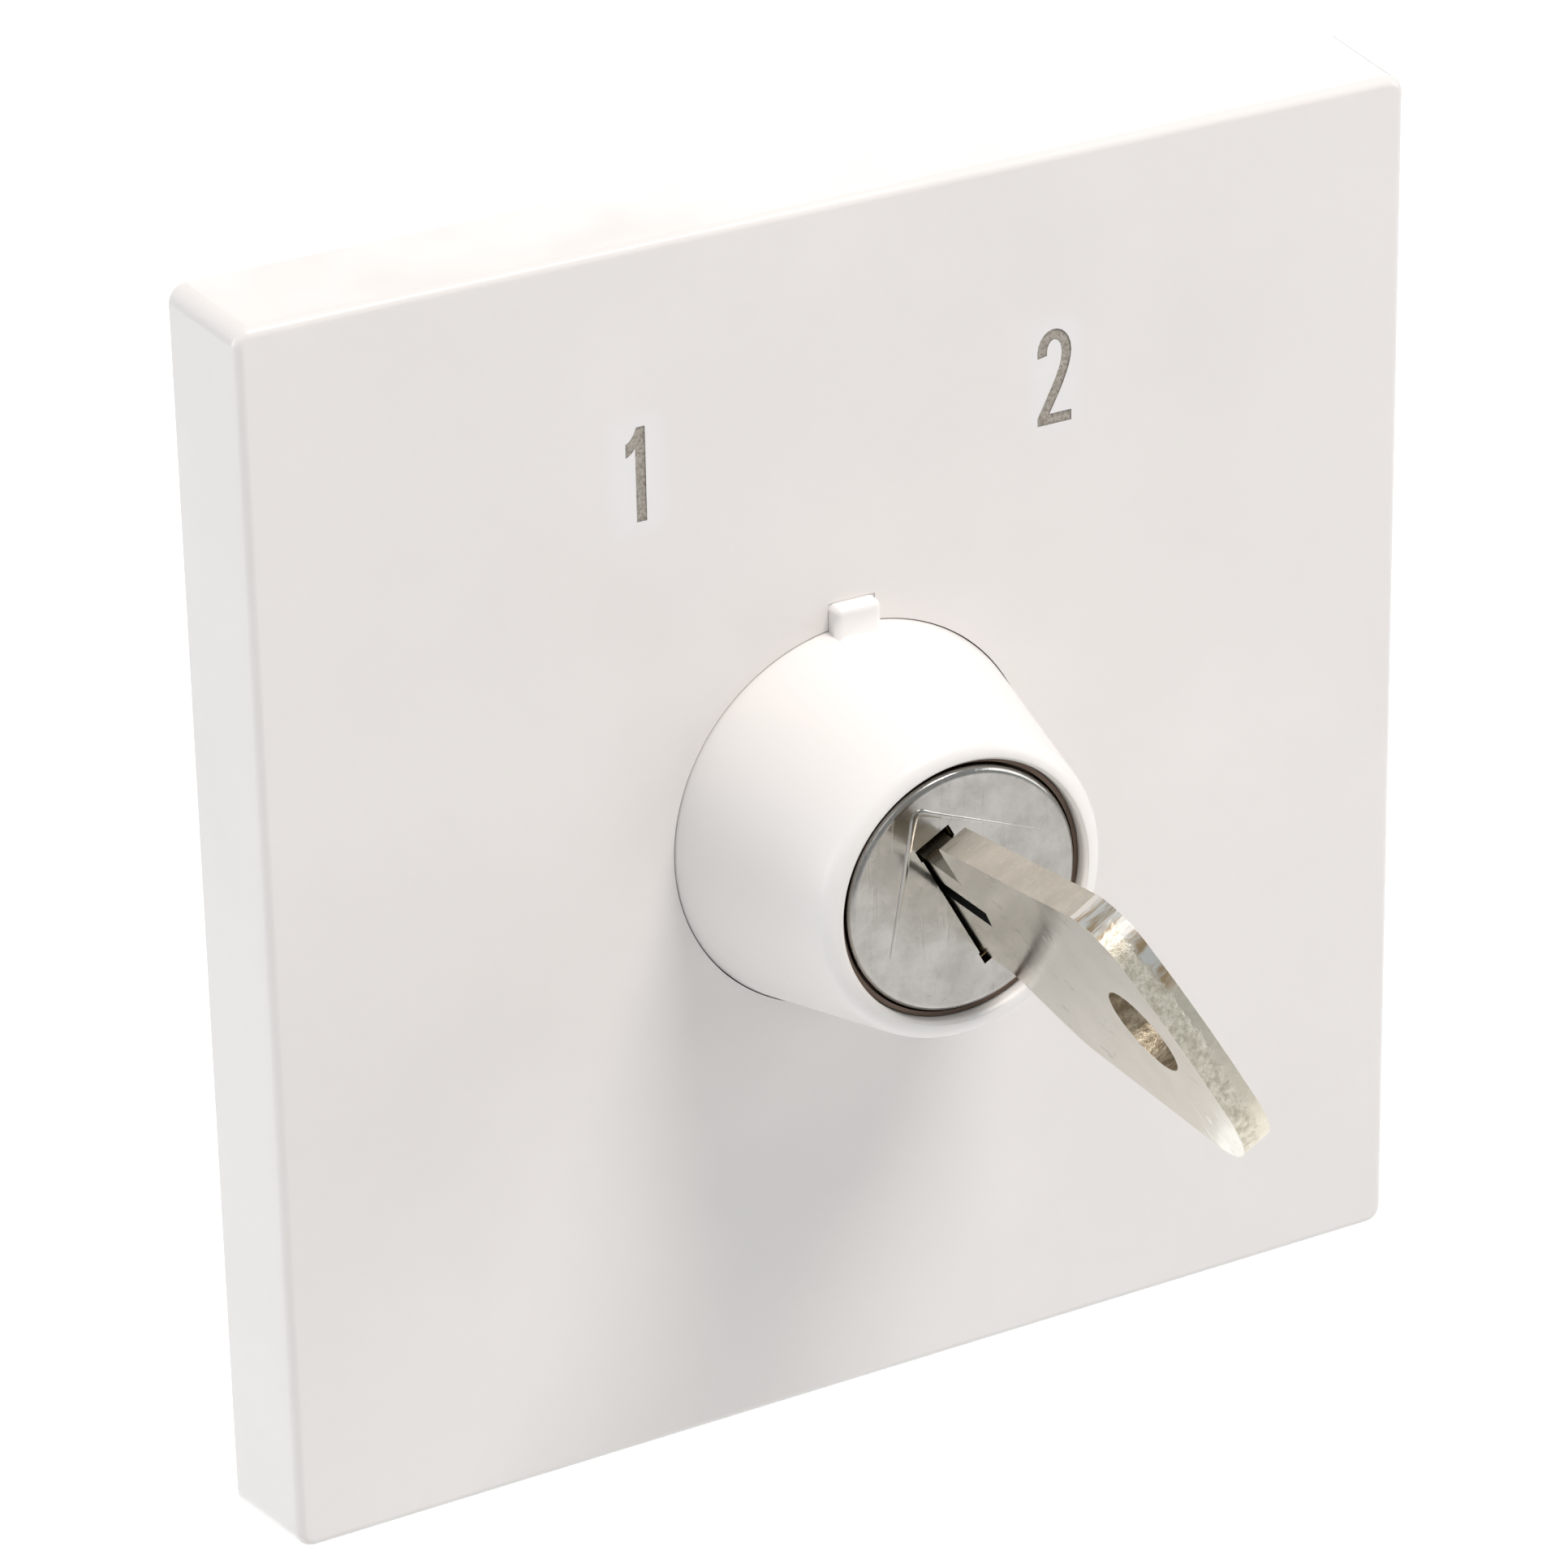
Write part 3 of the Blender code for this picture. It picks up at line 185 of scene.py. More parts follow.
class Graph:
    """Principled material whose inputs take either a value or a node's output."""

    def __init__(self, name):
        self.material = bpy.data.materials.new(name)
        self.material.use_nodes = True
        self.tree = self.material.node_tree
        self.shader = self.tree.nodes["Principled BSDF"]
        self.coords = self.node("TexCoord", {}).outputs["Object"]

    def node(self, kind, inputs, **settings):
        made = self.tree.nodes.new("ShaderNode" + kind)
        for key, value in settings.items():
            setattr(made, key, value)
        self.put(made, inputs)
        return made

    def put(self, node, inputs):
        for key, value in inputs.items():
            if isinstance(value, bpy.types.NodeSocket):
                self.tree.links.new(value, node.inputs[key])
            else:
                node.inputs[key].default_value = value

    def finish(self, color, roughness, normal=None, metallic=0.0):
        color = (*color, 1.0) if isinstance(color, tuple) else color
        self.put(self.shader, {"Base Color": color, "Roughness": roughness, "Metallic": metallic})
        if normal is not None:
            self.put(self.shader, {"Normal": normal})
        return self.material

    def mapped(self, stretch=(1.0, 1.0, 1.0), turn=(0.0, 0.0, 0.0)):
        inputs = {"Vector": self.coords, "Rotation": turn, "Scale": stretch}
        return self.node("Mapping", inputs).outputs["Vector"]

    def noise(self, scale, detail=2.0, vector=None, rough=0.5):
        inputs = {"Vector": vector or self.coords, "Scale": scale, "Detail": detail, "Roughness": rough}
        return self.node("TexNoise", inputs).outputs["Fac"]

    def remap(self, value, low, high, new_low=0.0, new_high=1.0):
        inputs = {"Value": value, "From Min": low, "From Max": high, "To Min": new_low, "To Max": new_high}
        return self.node("MapRange", inputs).outputs["Result"]

    def math(self, operation, a, b=0.0):
        return self.node("Math", {0: a, 1: b}, operation=operation).outputs[0]

    def spots(self, scale, detail, low, high, vector=None, rough=0.5):
        """Mask that is one where noise stands above a high threshold."""
        return self.remap(self.noise(scale, detail, vector, rough), low, high)

    def vector(self, operation, a, b=(0.0, 0.0, 0.0), output="Vector"):
        return self.node("VectorMath", {0: a, 1: b}, operation=operation).outputs[output]

    def mix(self, part, a, b):
        a = (*a, 1.0) if isinstance(a, tuple) else a
        b = (*b, 1.0) if isinstance(b, tuple) else b
        return self.node("Mix", {0: part, 6: a, 7: b}, data_type="RGBA").outputs[2]

    def bump(self, height, strength, distance, normal=None):
        inputs = {"Height": height, "Strength": strength, "Distance": distance}
        if normal is not None:
            inputs["Normal"] = normal
        return self.node("Bump", inputs).outputs["Normal"]

    def scratches(self, scale, turn, thin=0.02, cover=0.62):
        """Mask of fine lines: noise drawn out along one direction and cut to its crests."""
        vector = self.mapped((1.0, 1.0, thin), turn)
        return self.spots(scale, 3.0, cover, cover + 0.06, vector)


def near_box(graph, centre, half_x, half_z, reach):
    """One inside a rectangle on the plate's front, falling to zero at a reach outside it."""
    offset = graph.vector("SUBTRACT", graph.coords, centre)
    offset = graph.vector("ABSOLUTE", offset)
    offset = graph.vector("SUBTRACT", offset, (half_x, 1.0, half_z))
    offset = graph.vector("MAXIMUM", offset)
    distance = graph.vector("LENGTH", offset, output="Value")
    return graph.remap(distance, 0.0, reach, 1.0, 0.0)


def white_plastic(name, color, roughness, halo=False):
    """Glossy moulded white with faint mottling and an orange-peel skin; the collar has wear lines."""
    graph = Graph(name)
    deeper = tuple(part * (0.965 if halo else 0.993) for part in color)
    shade = graph.mix(graph.spots(70.0, 3.0, 0.3, 0.7), color, deeper)
    if halo:
        for side in (-1, 1):
            x, z = polar(DIGIT_RADIUS, side * DIGIT_ANGLE)
            mask = near_box(graph, (x, 0.0, z), 1.0 * MM, 2.8 * MM, 1.3 * MM)
            pale = (color[0] * 0.995, color[1] * 1.015, color[2] * 1.045)
            shade = graph.mix(mask, shade, pale)
    spread = 1.0 if halo else 0.4
    finest, dullest = roughness - 0.04 * spread, roughness + 0.06 * spread
    rough = graph.remap(graph.noise(240.0, 4.0), 0.3, 0.75, finest, dullest)
    peel = graph.bump(graph.noise(900.0, 2.0), 0.05, 0.05 * MM)
    normal = graph.bump(graph.noise(7000.0, 2.0), 0.06, 0.01 * MM, peel)
    if not halo:
        lines = graph.scratches(2600.0, (0.9, 0.5, 0.3), 0.06, 0.67)
        rough = graph.math("ADD", rough, graph.math("MULTIPLY", lines, 0.03))
        normal = graph.bump(lines, 0.02, 0.01 * MM, normal)
    return graph.finish(shade, rough, normal)


def marking_material():
    """Laser marking: a speckled grey-brown foam in the plastic's skin."""
    graph = Graph("laser_marking")
    grains = graph.noise(5200.0, 3.0, rough=0.7)
    patches = graph.noise(1300.0, 2.0)
    dark = (0.20, 0.175, 0.145)
    pale = (0.47, 0.43, 0.38)
    shade = graph.mix(graph.remap(grains, 0.36, 0.64), dark, pale)
    shade = graph.mix(graph.remap(patches, 0.35, 0.7, 0.0, 0.45), shade, (0.33, 0.30, 0.26))
    normal = graph.bump(grains, 0.5, 0.03 * MM)
    return graph.finish(shade, 0.62, normal)


def cap_steel():
    """Drawn stainless sheet: smudges, a slightly uneven face, scuffs both ways and pits."""
    graph = Graph("cap_steel")
    smudge = graph.noise(520.0, 6.0, rough=0.68)
    shade = graph.mix(graph.remap(smudge, 0.35, 0.65), (0.55, 0.53, 0.505), (0.44, 0.42, 0.395))
    pits = graph.spots(1900.0, 5.0, 0.6, 0.7, rough=0.8)
    shade = graph.mix(graph.math("MULTIPLY", pits, 0.5), shade, (0.26, 0.25, 0.24))
    fine = graph.scratches(1400.0, (0.0, 0.9, 0.0), 0.06, 0.6)
    cross = graph.scratches(900.0, (0.0, -0.5, 0.0), 0.05, 0.64)
    lines = graph.math("MAXIMUM", fine, cross)
    base = graph.remap(smudge, 0.3, 0.7, 0.11, 0.24)
    rough = graph.math("ADD", base, graph.math("MULTIPLY", lines, 0.10))
    wave = graph.bump(graph.noise(260.0, 2.0), 0.12, 0.1 * MM)
    dents = graph.bump(graph.noise(1500.0, 3.0), 0.10, 0.04 * MM, wave)
    normal = graph.bump(lines, 0.22, 0.02 * MM, dents)
    return graph.finish(shade, rough, normal, 1.0)


def key_face():
    """Polished flat of the key with long draw lines and small handling marks."""
    graph = Graph("key_face")
    patch = graph.noise(260.0, 4.0, rough=0.6)
    shade = graph.mix(graph.remap(patch, 0.3, 0.7), (0.76, 0.73, 0.645), (0.68, 0.65, 0.57))
    lines = graph.scratches(1500.0, (0.0, 0.0, 0.35), 0.05, 0.63)
    marks = graph.spots(1100.0, 5.0, 0.62, 0.67, graph.mapped((1.0, 0.45, 1.0)), 0.7)
    shade = graph.mix(graph.math("MULTIPLY", marks, 0.45), shade, (0.30, 0.275, 0.235))
    rough = graph.math("ADD", graph.remap(patch, 0.3, 0.7, 0.10, 0.20), graph.math("MULTIPLY", lines, 0.12))
    soft = graph.bump(graph.noise(300.0, 2.0), 0.18, 0.08 * MM)
    normal = graph.bump(graph.math("MAXIMUM", lines, marks), 0.15, 0.02 * MM, soft)
    return graph.finish(shade, rough, normal, 1.0)


def key_edge():
    """Machined narrow side: matt, with fine lines across the thickness."""
    graph = Graph("key_edge")
    patch = graph.noise(420.0, 4.0, rough=0.65)
    shade = graph.mix(graph.remap(patch, 0.3, 0.72), (0.70, 0.66, 0.575), (0.56, 0.525, 0.45))
    across = graph.noise(2600.0, 3.0, graph.mapped((0.3, 1.0, 0.3), SLOT_TURN))
    rough = graph.remap(across, 0.3, 0.7, 0.24, 0.40)
    normal = graph.bump(across, 0.14, 0.03 * MM)
    return graph.finish(shade, rough, normal, 1.0)


def key_end():
    """Bow end: polished corner, then a torn band beside a smooth one across the thickness; on the polished
    corner and the upper smooth band the colour is a painted reflection of white highlight, warm brown and
    dark streaks.
    """
    graph = Graph("key_end")
    side_axis = tuple(SLOT_DIRECTION @ Vector((1.0, 0.0, 0.0)))
    up_axis = tuple(SLOT_DIRECTION @ Vector((0.0, 0.0, 1.0)))
    aside = graph.vector("DOT_PRODUCT", graph.coords, side_axis, output="Value")
    height = graph.vector("DOT_PRODUCT", graph.coords, up_axis, output="Value")
    wobble = graph.remap(graph.noise(900.0, 4.0, rough=0.7), 0.3, 0.7, -0.3 * MM, 0.3 * MM)
    aside = graph.math("ADD", aside, wobble)
    height = graph.math("ADD", height, graph.math("MULTIPLY", wobble, 1.6))
    smooth = graph.remap(aside, 0.1 * MM, 0.4 * MM)
    corner = graph.remap(height, 9.3 * MM, 9.9 * MM)
    above = graph.remap(height, 5.0 * MM, 6.0 * MM)
    # Mask of the polished corner and the upper smooth band; it also places the painted reflection in the
    # colour.
    polished_with_painted_reflection = graph.math("MAXIMUM", corner, graph.math("MULTIPLY", smooth, above))
    torn = graph.math("SUBTRACT", 1.0, graph.math("MAXIMUM", smooth, corner))

    grain = graph.noise(3400.0, 6.0, graph.mapped((0.7, 1.0, 0.7), SLOT_TURN), rough=0.72)
    across = graph.mapped((0.12, 1.0, 0.12), SLOT_TURN)
    streak = graph.noise(1300.0, 4.0, across, rough=0.65)
    satin = graph.mix(graph.remap(grain, 0.35, 0.65), (0.85, 0.79, 0.67), (0.75, 0.69, 0.57))
    # Painted reflection: white highlight and warm brown bands that follow the streaks.
    painted_reflection = graph.mix(graph.remap(streak, 0.50, 0.60), (0.96, 0.94, 0.89), (0.60, 0.44, 0.27))
    # Dark streaks within the painted reflection: painted dark reflection.
    dark = graph.spots(800.0, 3.0, 0.57, 0.64, across)
    painted_reflection = graph.mix(dark, painted_reflection, (0.10, 0.085, 0.065))
    rough_shade = graph.mix(graph.remap(grain, 0.40, 0.60), (0.58, 0.53, 0.42), (0.86, 0.81, 0.69))
    shade = graph.mix(torn, graph.mix(polished_with_painted_reflection, satin, painted_reflection), rough_shade)
    matt = graph.remap(polished_with_painted_reflection, 0.0, 1.0, 0.36, 0.31)
    relief = graph.math("MULTIPLY", grain, graph.remap(torn, 0.0, 1.0, 0.12, 1.0))
    normal = graph.bump(relief, 0.6, 0.12 * MM)
    normal = graph.bump(graph.math("MULTIPLY", streak, polished_with_painted_reflection), 0.8, 0.09 * MM, normal)
    return graph.finish(shade, matt, normal, 1.0)


def key_bore():
    """Punched wall of the ring hole: torn, brownish with handling."""
    graph = Graph("key_bore")
    torn = graph.noise(2600.0, 5.0, graph.mapped((0.5, 1.0, 0.5), SLOT_TURN), rough=0.7)
    shade = graph.mix(graph.remap(torn, 0.38, 0.62), (0.26, 0.21, 0.145), (0.56, 0.49, 0.375))
    normal = graph.bump(torn, 0.8, 0.1 * MM)
    return graph.finish(shade, 0.4, normal, 1.0)


def metal(name, color, roughness, mottle=0.14, grain=600.0, relief=0.15, lines=0.0):
    """Plated, cast or turned metal, told apart by mottling, grain and tool lines."""
    graph = Graph(name)
    dark = tuple(part * (1.0 - mottle) for part in color)
    patch = graph.noise(grain * 0.4, 4.0, rough=0.6)
    shade = graph.mix(graph.remap(patch, 0.32, 0.68), color, dark)
    skin = graph.noise(grain * 4.0, 3.0)
    rough = graph.remap(patch, 0.3, 0.7, roughness - 0.06, roughness + 0.09)
    normal = graph.bump(skin, relief, 0.02 * MM)
    if lines:
        turned = graph.noise(grain * 5.0, 2.0, graph.mapped((0.04, 1.0, 0.04)))
        normal = graph.bump(turned, lines, 0.02 * MM, normal)
    return graph.finish(shade, rough, normal, 1.0)


def moulded(name, color, roughness, speck=0.05, grain=5200.0):
    """Technical plastic with an eroded mould texture and a few glass-fibre flecks."""
    graph = Graph(name)
    pale = tuple(min(1.0, part + speck) for part in color)
    fleck = graph.spots(2100.0, 3.0, 0.6, 0.75, graph.mapped((1.0, 0.3, 1.0)))
    tone = graph.spots(120.0, 3.0, 0.3, 0.7)
    shade = graph.mix(tone, color, tuple(part * 0.88 for part in color))
    shade = graph.mix(graph.math("MULTIPLY", fleck, 0.5), shade, pale)
    erosion = graph.noise(grain, 3.0, rough=0.6)
    rough = graph.remap(erosion, 0.3, 0.7, roughness - 0.07, roughness + 0.1)
    normal = graph.bump(erosion, 0.35, 0.02 * MM)
    return graph.finish(shade, rough, normal)


# ---------- modelling helpers

def polar(radius, angle):
    """Point at an angle that is clockwise from straight up, seen from the room."""
    return radius * math.sin(angle), radius * math.cos(angle)


def new_object(name, bm, material=None):
    bmesh.ops.recalc_face_normals(bm, faces=bm.faces)
    mesh = bpy.data.meshes.new(name)
    bm.to_mesh(mesh)
    bm.free()
    item = bpy.data.objects.new(name, mesh)
    if material:
        mesh.materials.append(material)
    SCENE.collection.objects.link(item)
    return item


def loft(name, loops, material=None):
    """Closed solid through loops of equal count."""
    bm = bmesh.new()
    rings = [[bm.verts.new(point) for point in loop] for loop in loops]
    count = len(rings[0])
    for low, high in zip(rings, rings[1:]):
        for i in range(count):
            j = (i + 1) % count
            bm.faces.new((low[i], low[j], high[j], high[i]))
    bm.faces.new(rings[0])
    bm.faces.new(rings[-1])
    return new_object(name, bm, material)


def prism(name, outline, y0, y1, material=None):
    """Outline in X and Z, extruded along Y."""
    return loft(name, [[(x, y, z) for x, z in outline] for y in (y0, y1)], material)


def prism_x(name, outline, x0, x1, material=None):
    """Outline in Y and Z, extruded along X."""
    return loft(name, [[(x, y, z) for y, z in outline] for x in (x0, x1)], material)


def block(name, xs, ys, zs, material=None):
    outline = [(xs[0], zs[0]), (xs[1], zs[0]), (xs[1], zs[1]), (xs[0], zs[1])]
    return prism(name, outline, ys[0], ys[1], material)


def lathe(name, profile, material=None, steps=96, center=(0.0, 0.0), ripple=None):
    """Turn (radius, y) points about an axis along Y; ripple adds to the radius."""
    bm = bmesh.new()
    rings = []
    for radius, y in profile:
        if radius == 0.0:
            rings.append([bm.verts.new((center[0], y, center[1]))])
            continue
        ring = []
        for i in range(steps):
            angle = TAU * i / steps
            reach = radius + (ripple(y, angle) if ripple else 0.0)
            x = center[0] + reach * math.cos(angle)
            z = center[1] + reach * math.sin(angle)
            ring.append(bm.verts.new((x, y, z)))
        rings.append(ring)
    pairs = list(zip(rings, rings[1:]))
    if profile[0][0] > 0.0:
        pairs.append((rings[-1], rings[0]))
    for low, high in pairs:
        for i in range(steps):
            j = (i + 1) % steps
            if len(low) == 1:
                bm.faces.new((low[0], high[i], high[j]))
            elif len(high) == 1:
                bm.faces.new((low[i], low[j], high[0]))
            else:
                bm.faces.new((low[i], low[j], high[j], high[i]))
    return new_object(name, bm, material)


def disc(name, radius, y0, y1, center=(0.0, 0.0), steps=48):
    profile = [(0.0, y0), (radius, y0), (radius, y1), (0.0, y1)]
    return lathe(name, profile, None, steps, center)


def crossed(name, xs, ys, zs):
    """Two blocks, the second with its X and Z spans exchanged."""
    return [block(name, xs, ys, zs), block(name, zs, ys, xs)]


def around(middle, half):
    """Ends of a span about its middle."""
    return middle - half, middle + half


def outward(side, near, far):
    """Ends of a span from near to far on one side of the lock's axis, lower one first."""
    return sorted((side * near, side * far))


def arc(center, radius, start, end, steps):
    """Points (radius, y) along an arc, angles from +radius towards +y, in degrees."""
    angles = [math.radians(start + (end - start) * i / steps) for i in range(steps + 1)]
    return [(center[0] + radius * math.cos(a), center[1] + radius * math.sin(a)) for a in angles]


def bezier(start, first, second, end, steps):
    points = []
    for i in range(steps + 1):
        t = i / steps
        parts = (1 - t) ** 3, 3 * t * (1 - t) ** 2, 3 * t * t * (1 - t), t ** 3
        axes = zip(start, first, second, end)
        points.append(tuple(sum(a * b for a, b in zip(parts, axis)) for axis in axes))
    return points


def rounded_outline(half_x, half_z, radius, steps=5):
    """Rectangle with round corners."""
    points = []
    for start, x, z in ((0.0, 1, 1), (90.0, -1, 1), (180.0, -1, -1), (270.0, 1, -1)):
        center = (x * (half_x - radius), z * (half_z - radius))
        points += arc(center, radius, start, start + 90.0, steps)
    return points


def rounded_polygon(corners, steps=8):
    """Polygon whose corners (a, b, radius) are rounded by tangent arcs."""
    points = []
    count = len(corners)
    for i in range(count):
        before = Vector(corners[i - 1][:2])
        here = Vector(corners[i][:2])
        after = Vector(corners[(i + 1) % count][:2])
        radius = corners[i][2]
        if radius == 0.0:
            points.append(tuple(here))
            continue
        to_before = (before - here).normalized()
        to_after = (after - here).normalized()
        half = to_before.angle(to_after) / 2.0
        reach = radius / math.tan(half)
        middle = here + (to_before + to_after).normalized() * radius / math.sin(half)
        start = here + to_before * reach - middle
        end = here + to_after * reach - middle
        sweep = start.angle_signed(end)
        for k in range(steps + 1):
            points.append(tuple(middle + Matrix.Rotation(-sweep * k / steps, 2) @ start))
    return points


def apply_modifiers(item):
    graph = bpy.context.evaluated_depsgraph_get()
    evaluated = item.evaluated_get(graph)
    mesh = bpy.data.meshes.new_from_object(evaluated, preserve_all_data_layers=True, depsgraph=graph)
    item.modifiers.clear()
    item.data = mesh


def carve(item, joins, cuts, bevel=0.0, **shading):
    """Unite and subtract tools, then round the sharp edges and smooth the shading."""
    for operation, tools in (("UNION", joins), ("DIFFERENCE", cuts)):
        for tool in tools:
            modifier = item.modifiers.new(tool.name, "BOOLEAN")
            modifier.operation = operation
            modifier.solver = "EXACT"
            modifier.material_mode = "TRANSFER" if tool.data.materials else "INDEX"
            modifier.object = tool
    apply_modifiers(item)
    for tool in (*joins, *cuts):
        bpy.data.objects.remove(tool, do_unlink=True)
    return soften(item, bevel, **shading)


def soften(item, bevel, segments=2, sharp=60.0, merge=True):
    """Merge coplanar faces, round the edges and shade flats flat and curves smooth."""
    bm = bmesh.new()
    bm.from_mesh(item.data)
    bmesh.ops.remove_doubles(bm, verts=bm.verts, dist=0.002 * MM)
    if merge:
        flat = math.radians(0.3)
        bmesh.ops.dissolve_limit(bm, angle_limit=flat, verts=bm.verts, edges=bm.edges, delimit={"MATERIAL"})
    bm.to_mesh(item.data)
    bm.free()
    item.data.shade_smooth()
    if bevel:
        modifier = item.modifiers.new("edges", "BEVEL")
        modifier.width = bevel
        modifier.segments = segments
        modifier.limit_method = "ANGLE"
        modifier.angle_limit = math.radians(30.0)
        modifier.miter_outer = "MITER_ARC"
    modifier = item.modifiers.new("shading", "WEIGHTED_NORMAL")
    modifier.keep_sharp = True
    modifier.weight = 80
    item.data.set_sharp_from_angle(angle=math.radians(sharp))
    apply_modifiers(item)
    return item


def piece(item, body, node):
    """Ride on a body and stand for a CAD node, whose own mesh is hidden."""
    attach(item, body)
    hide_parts(node)
    return item


def refined(node, body, material, bevel=0.1 * MM):
    """Copy of a CAD node with its flat faces merged and its edges rounded."""
    bm = bmesh.new()
    bm.from_mesh(frame["nodes"][node].data)
    bmesh.ops.remove_doubles(bm, verts=bm.verts, dist=0.001 * MM)
    bmesh.ops.dissolve_limit(bm, angle_limit=math.radians(1.0), verts=bm.verts, edges=bm.edges)
    item = new_object(f"{node}_fine", bm, material)
    soften(item, bevel)
    return piece(item, body, node)


# ---------- cover plate

def digit(name, outline, center, y0, y1, material):
    """Digit drawn in millimetres from its own centre."""
    return prism(name, [(center[0] + x * MM, center[1] + z * MM) for x, z in outline], y0, y1, material)


def digit_one(*place):
    """Upright stroke with a curved flag at its upper left."""
    top = 2.98
    right = 0.62
    left = right - 0.68
    flag = right - 1.32
    outline = [(left, -top), (right, -top), (right, top), (left + 0.12, top)]
    upper = (left + 0.06, top - 0.1), (left - 0.12, top - 0.55)
    outline += bezier(*upper, (flag + 0.3, top - 0.85), (flag, top - 0.95), 6)
    lower = (flag, top - 1.8), (flag + 0.3, top - 1.72)
    outline += bezier(*lower, (left - 0.1, top - 1.5), (left, top - 1.25), 6)
    return digit("digit_one_tool", outline, *place)


def digit_two(*place):
    """Narrow hook, diagonal and level foot."""
    wide = 1.2
    stroke = 0.68
    foot = -3.05
    eye = -foot - 1.5
    inner = wide - stroke
    outline = [(wide * x, eye + 1.5 * z) for x, z in arc((0.0, 0.0), 1.0, 190.0, 0.0, 12)]
    outline += bezier((wide, eye - 0.1), (wide, eye - 1.1), (0.35, foot + 1.9), (-0.36, foot + stroke), 8)
    outline += [(wide, foot + stroke), (wide, foot), (-wide, foot)]
    outline += bezier((-wide, foot + 0.5), (-0.5, foot + 1.9), (inner, eye - 1.2), (inner, eye - 0.1), 8)
    outline += [(inner * x, eye + 0.82 * z) for x, z in arc((0.0, 0.0), 1.0, 0.0, 190.0, 10)]
    return digit("digit_two_tool", outline, *place)


def build_plate(white, marking):
    """Hollow plate with a rounded front edge, the collar's hole and two marked digits."""
    rear = rounded_outline(PLATE_HALF, PLATE_HALF, PLATE_CORNER, 8)
    loops = [[(x, 0.0, z) for x, z in rear]]
    steps = 8
    for i in range(steps + 1):
        angle = math.pi / 2.0 * i / steps
        inset = PLATE_FILLET * (1.0 - math.cos(angle))
        half = PLATE_FRONT_HALF - inset
        y = PLATE_FRONT + PLATE_FILLET * (1.0 - math.sin(angle))
        outline = rounded_outline(half, half, PLATE_CORNER - inset, 8)
        loops.append([(x, y, z) for x, z in outline])
    plate = loft("cover_plate_fine", loops, white)
    inside = PLATE_FRONT_HALF - PLATE_WALL
    wall_back = PLATE_FRONT + PLATE_WALL
    hollow = prism("hollow", rounded_outline(inside, inside, 1.0 * MM, 4), wall_back, 0.01)
    joins = [disc("boss", 14.3 * MM, wall_back - MM, -4.7 * MM, steps=96)]
    near, far = 35.8 * MM, 37.0 * MM
    root = wall_back - MM
    for side in (-1, 1):
        joins += crossed("leg", outward(side, near, far), (root, -0.4 * MM), around(0.0, 9.0 * MM))
        fin = outward(side, far - 0.2 * MM, inside + 0.2 * MM)
        for other in (-1, 1):
            joins += crossed("rib", fin, (root, -2.4 * MM), outward(other, 5.4 * MM, 6.4 * MM))
    hole = disc("hole", COLLAR_BASE + HOLE_GAP, -0.02, 0.0, steps=160)
    notch_width = around(0.0, TAB_HALF + NOTCH_GAP)
    notch = block("notch", notch_width, (-0.02, 0.0), (0.010, TAB_TOP + NOTCH_GAP))
    carve(plate, [], [hollow])
    carve(plate, joins, [], 0.12 * MM)
    carve(plate, [], [hole, notch])
    cut_depth = (PLATE_FRONT - MM, PLATE_FRONT + DIGIT_DEPTH)
    one = digit_one(polar(DIGIT_RADIUS, -DIGIT_ANGLE), *cut_depth, marking)
    two = digit_two(polar(DIGIT_RADIUS, DIGIT_ANGLE), *cut_depth, marking)
    carve(plate, [], [one, two])
    piece(plate, "housing", "cover_plate")


# ---------- collar

def build_collar(material):
    """Cone round the lock with a rolled lip, hollow behind, and its index tab."""
    fillet = 1.2 * MM
    profile = [(COLLAR_BORE, COLLAR_FRONT + 3.0 * MM), (COLLAR_BORE, COLLAR_FRONT + 0.35 * MM)]
    profile += arc((COLLAR_BORE + 0.35 * MM, COLLAR_FRONT + 0.35 * MM), 0.35 * MM, 180.0, 270.0, 5)[1:]
    profile += arc((COLLAR_TOP - fillet, COLLAR_FRONT + fillet), fillet, -90.0, -9.5, 10)
    top_radius, top_y = profile[-1]
    for part in (0.35, 0.7, 0.87):
        ring_y = top_y + (PLATE_FRONT - top_y) * part
        profile.append((top_radius + (COLLAR_BASE - top_radius) * part, ring_y))
    ledge = COLLAR_BACK - 2.0 * MM
    profile += [(COLLAR_BASE, PLATE_FRONT), (COLLAR_BASE, COLLAR_BACK), (COLLAR_BORE, COLLAR_BACK)]
    profile += [(COLLAR_BORE, ledge), (COLLAR_BASE - 1.5 * MM, ledge)]
    collar = lathe("lock_collar_fine", profile, material, 160)
    wide = around(0.0, TAB_HALF)
    tall = (TAB_FOOT, TAB_TOP)
    tab = block("tab", wide, (PLATE_FRONT - 1.0 * MM, PLATE_FRONT + 1.6 * MM), tall)
    modifier = tab.modifiers.new("rounding", "BEVEL")
    modifier.width = 0.5 * MM
    modifier.segments = 5
    apply_modifiers(tab)
    seat = block("tab_seat", wide, (PLATE_FRONT + 0.05 * MM, PLATE_FRONT + 1.6 * MM), tall)
    carve(collar, [tab, seat], [], merge=False)
    collar.data.set_sharp_from_angle(angle=math.radians(40.0))
    piece(collar, "housing", "lock_collar")


# ---------- lock

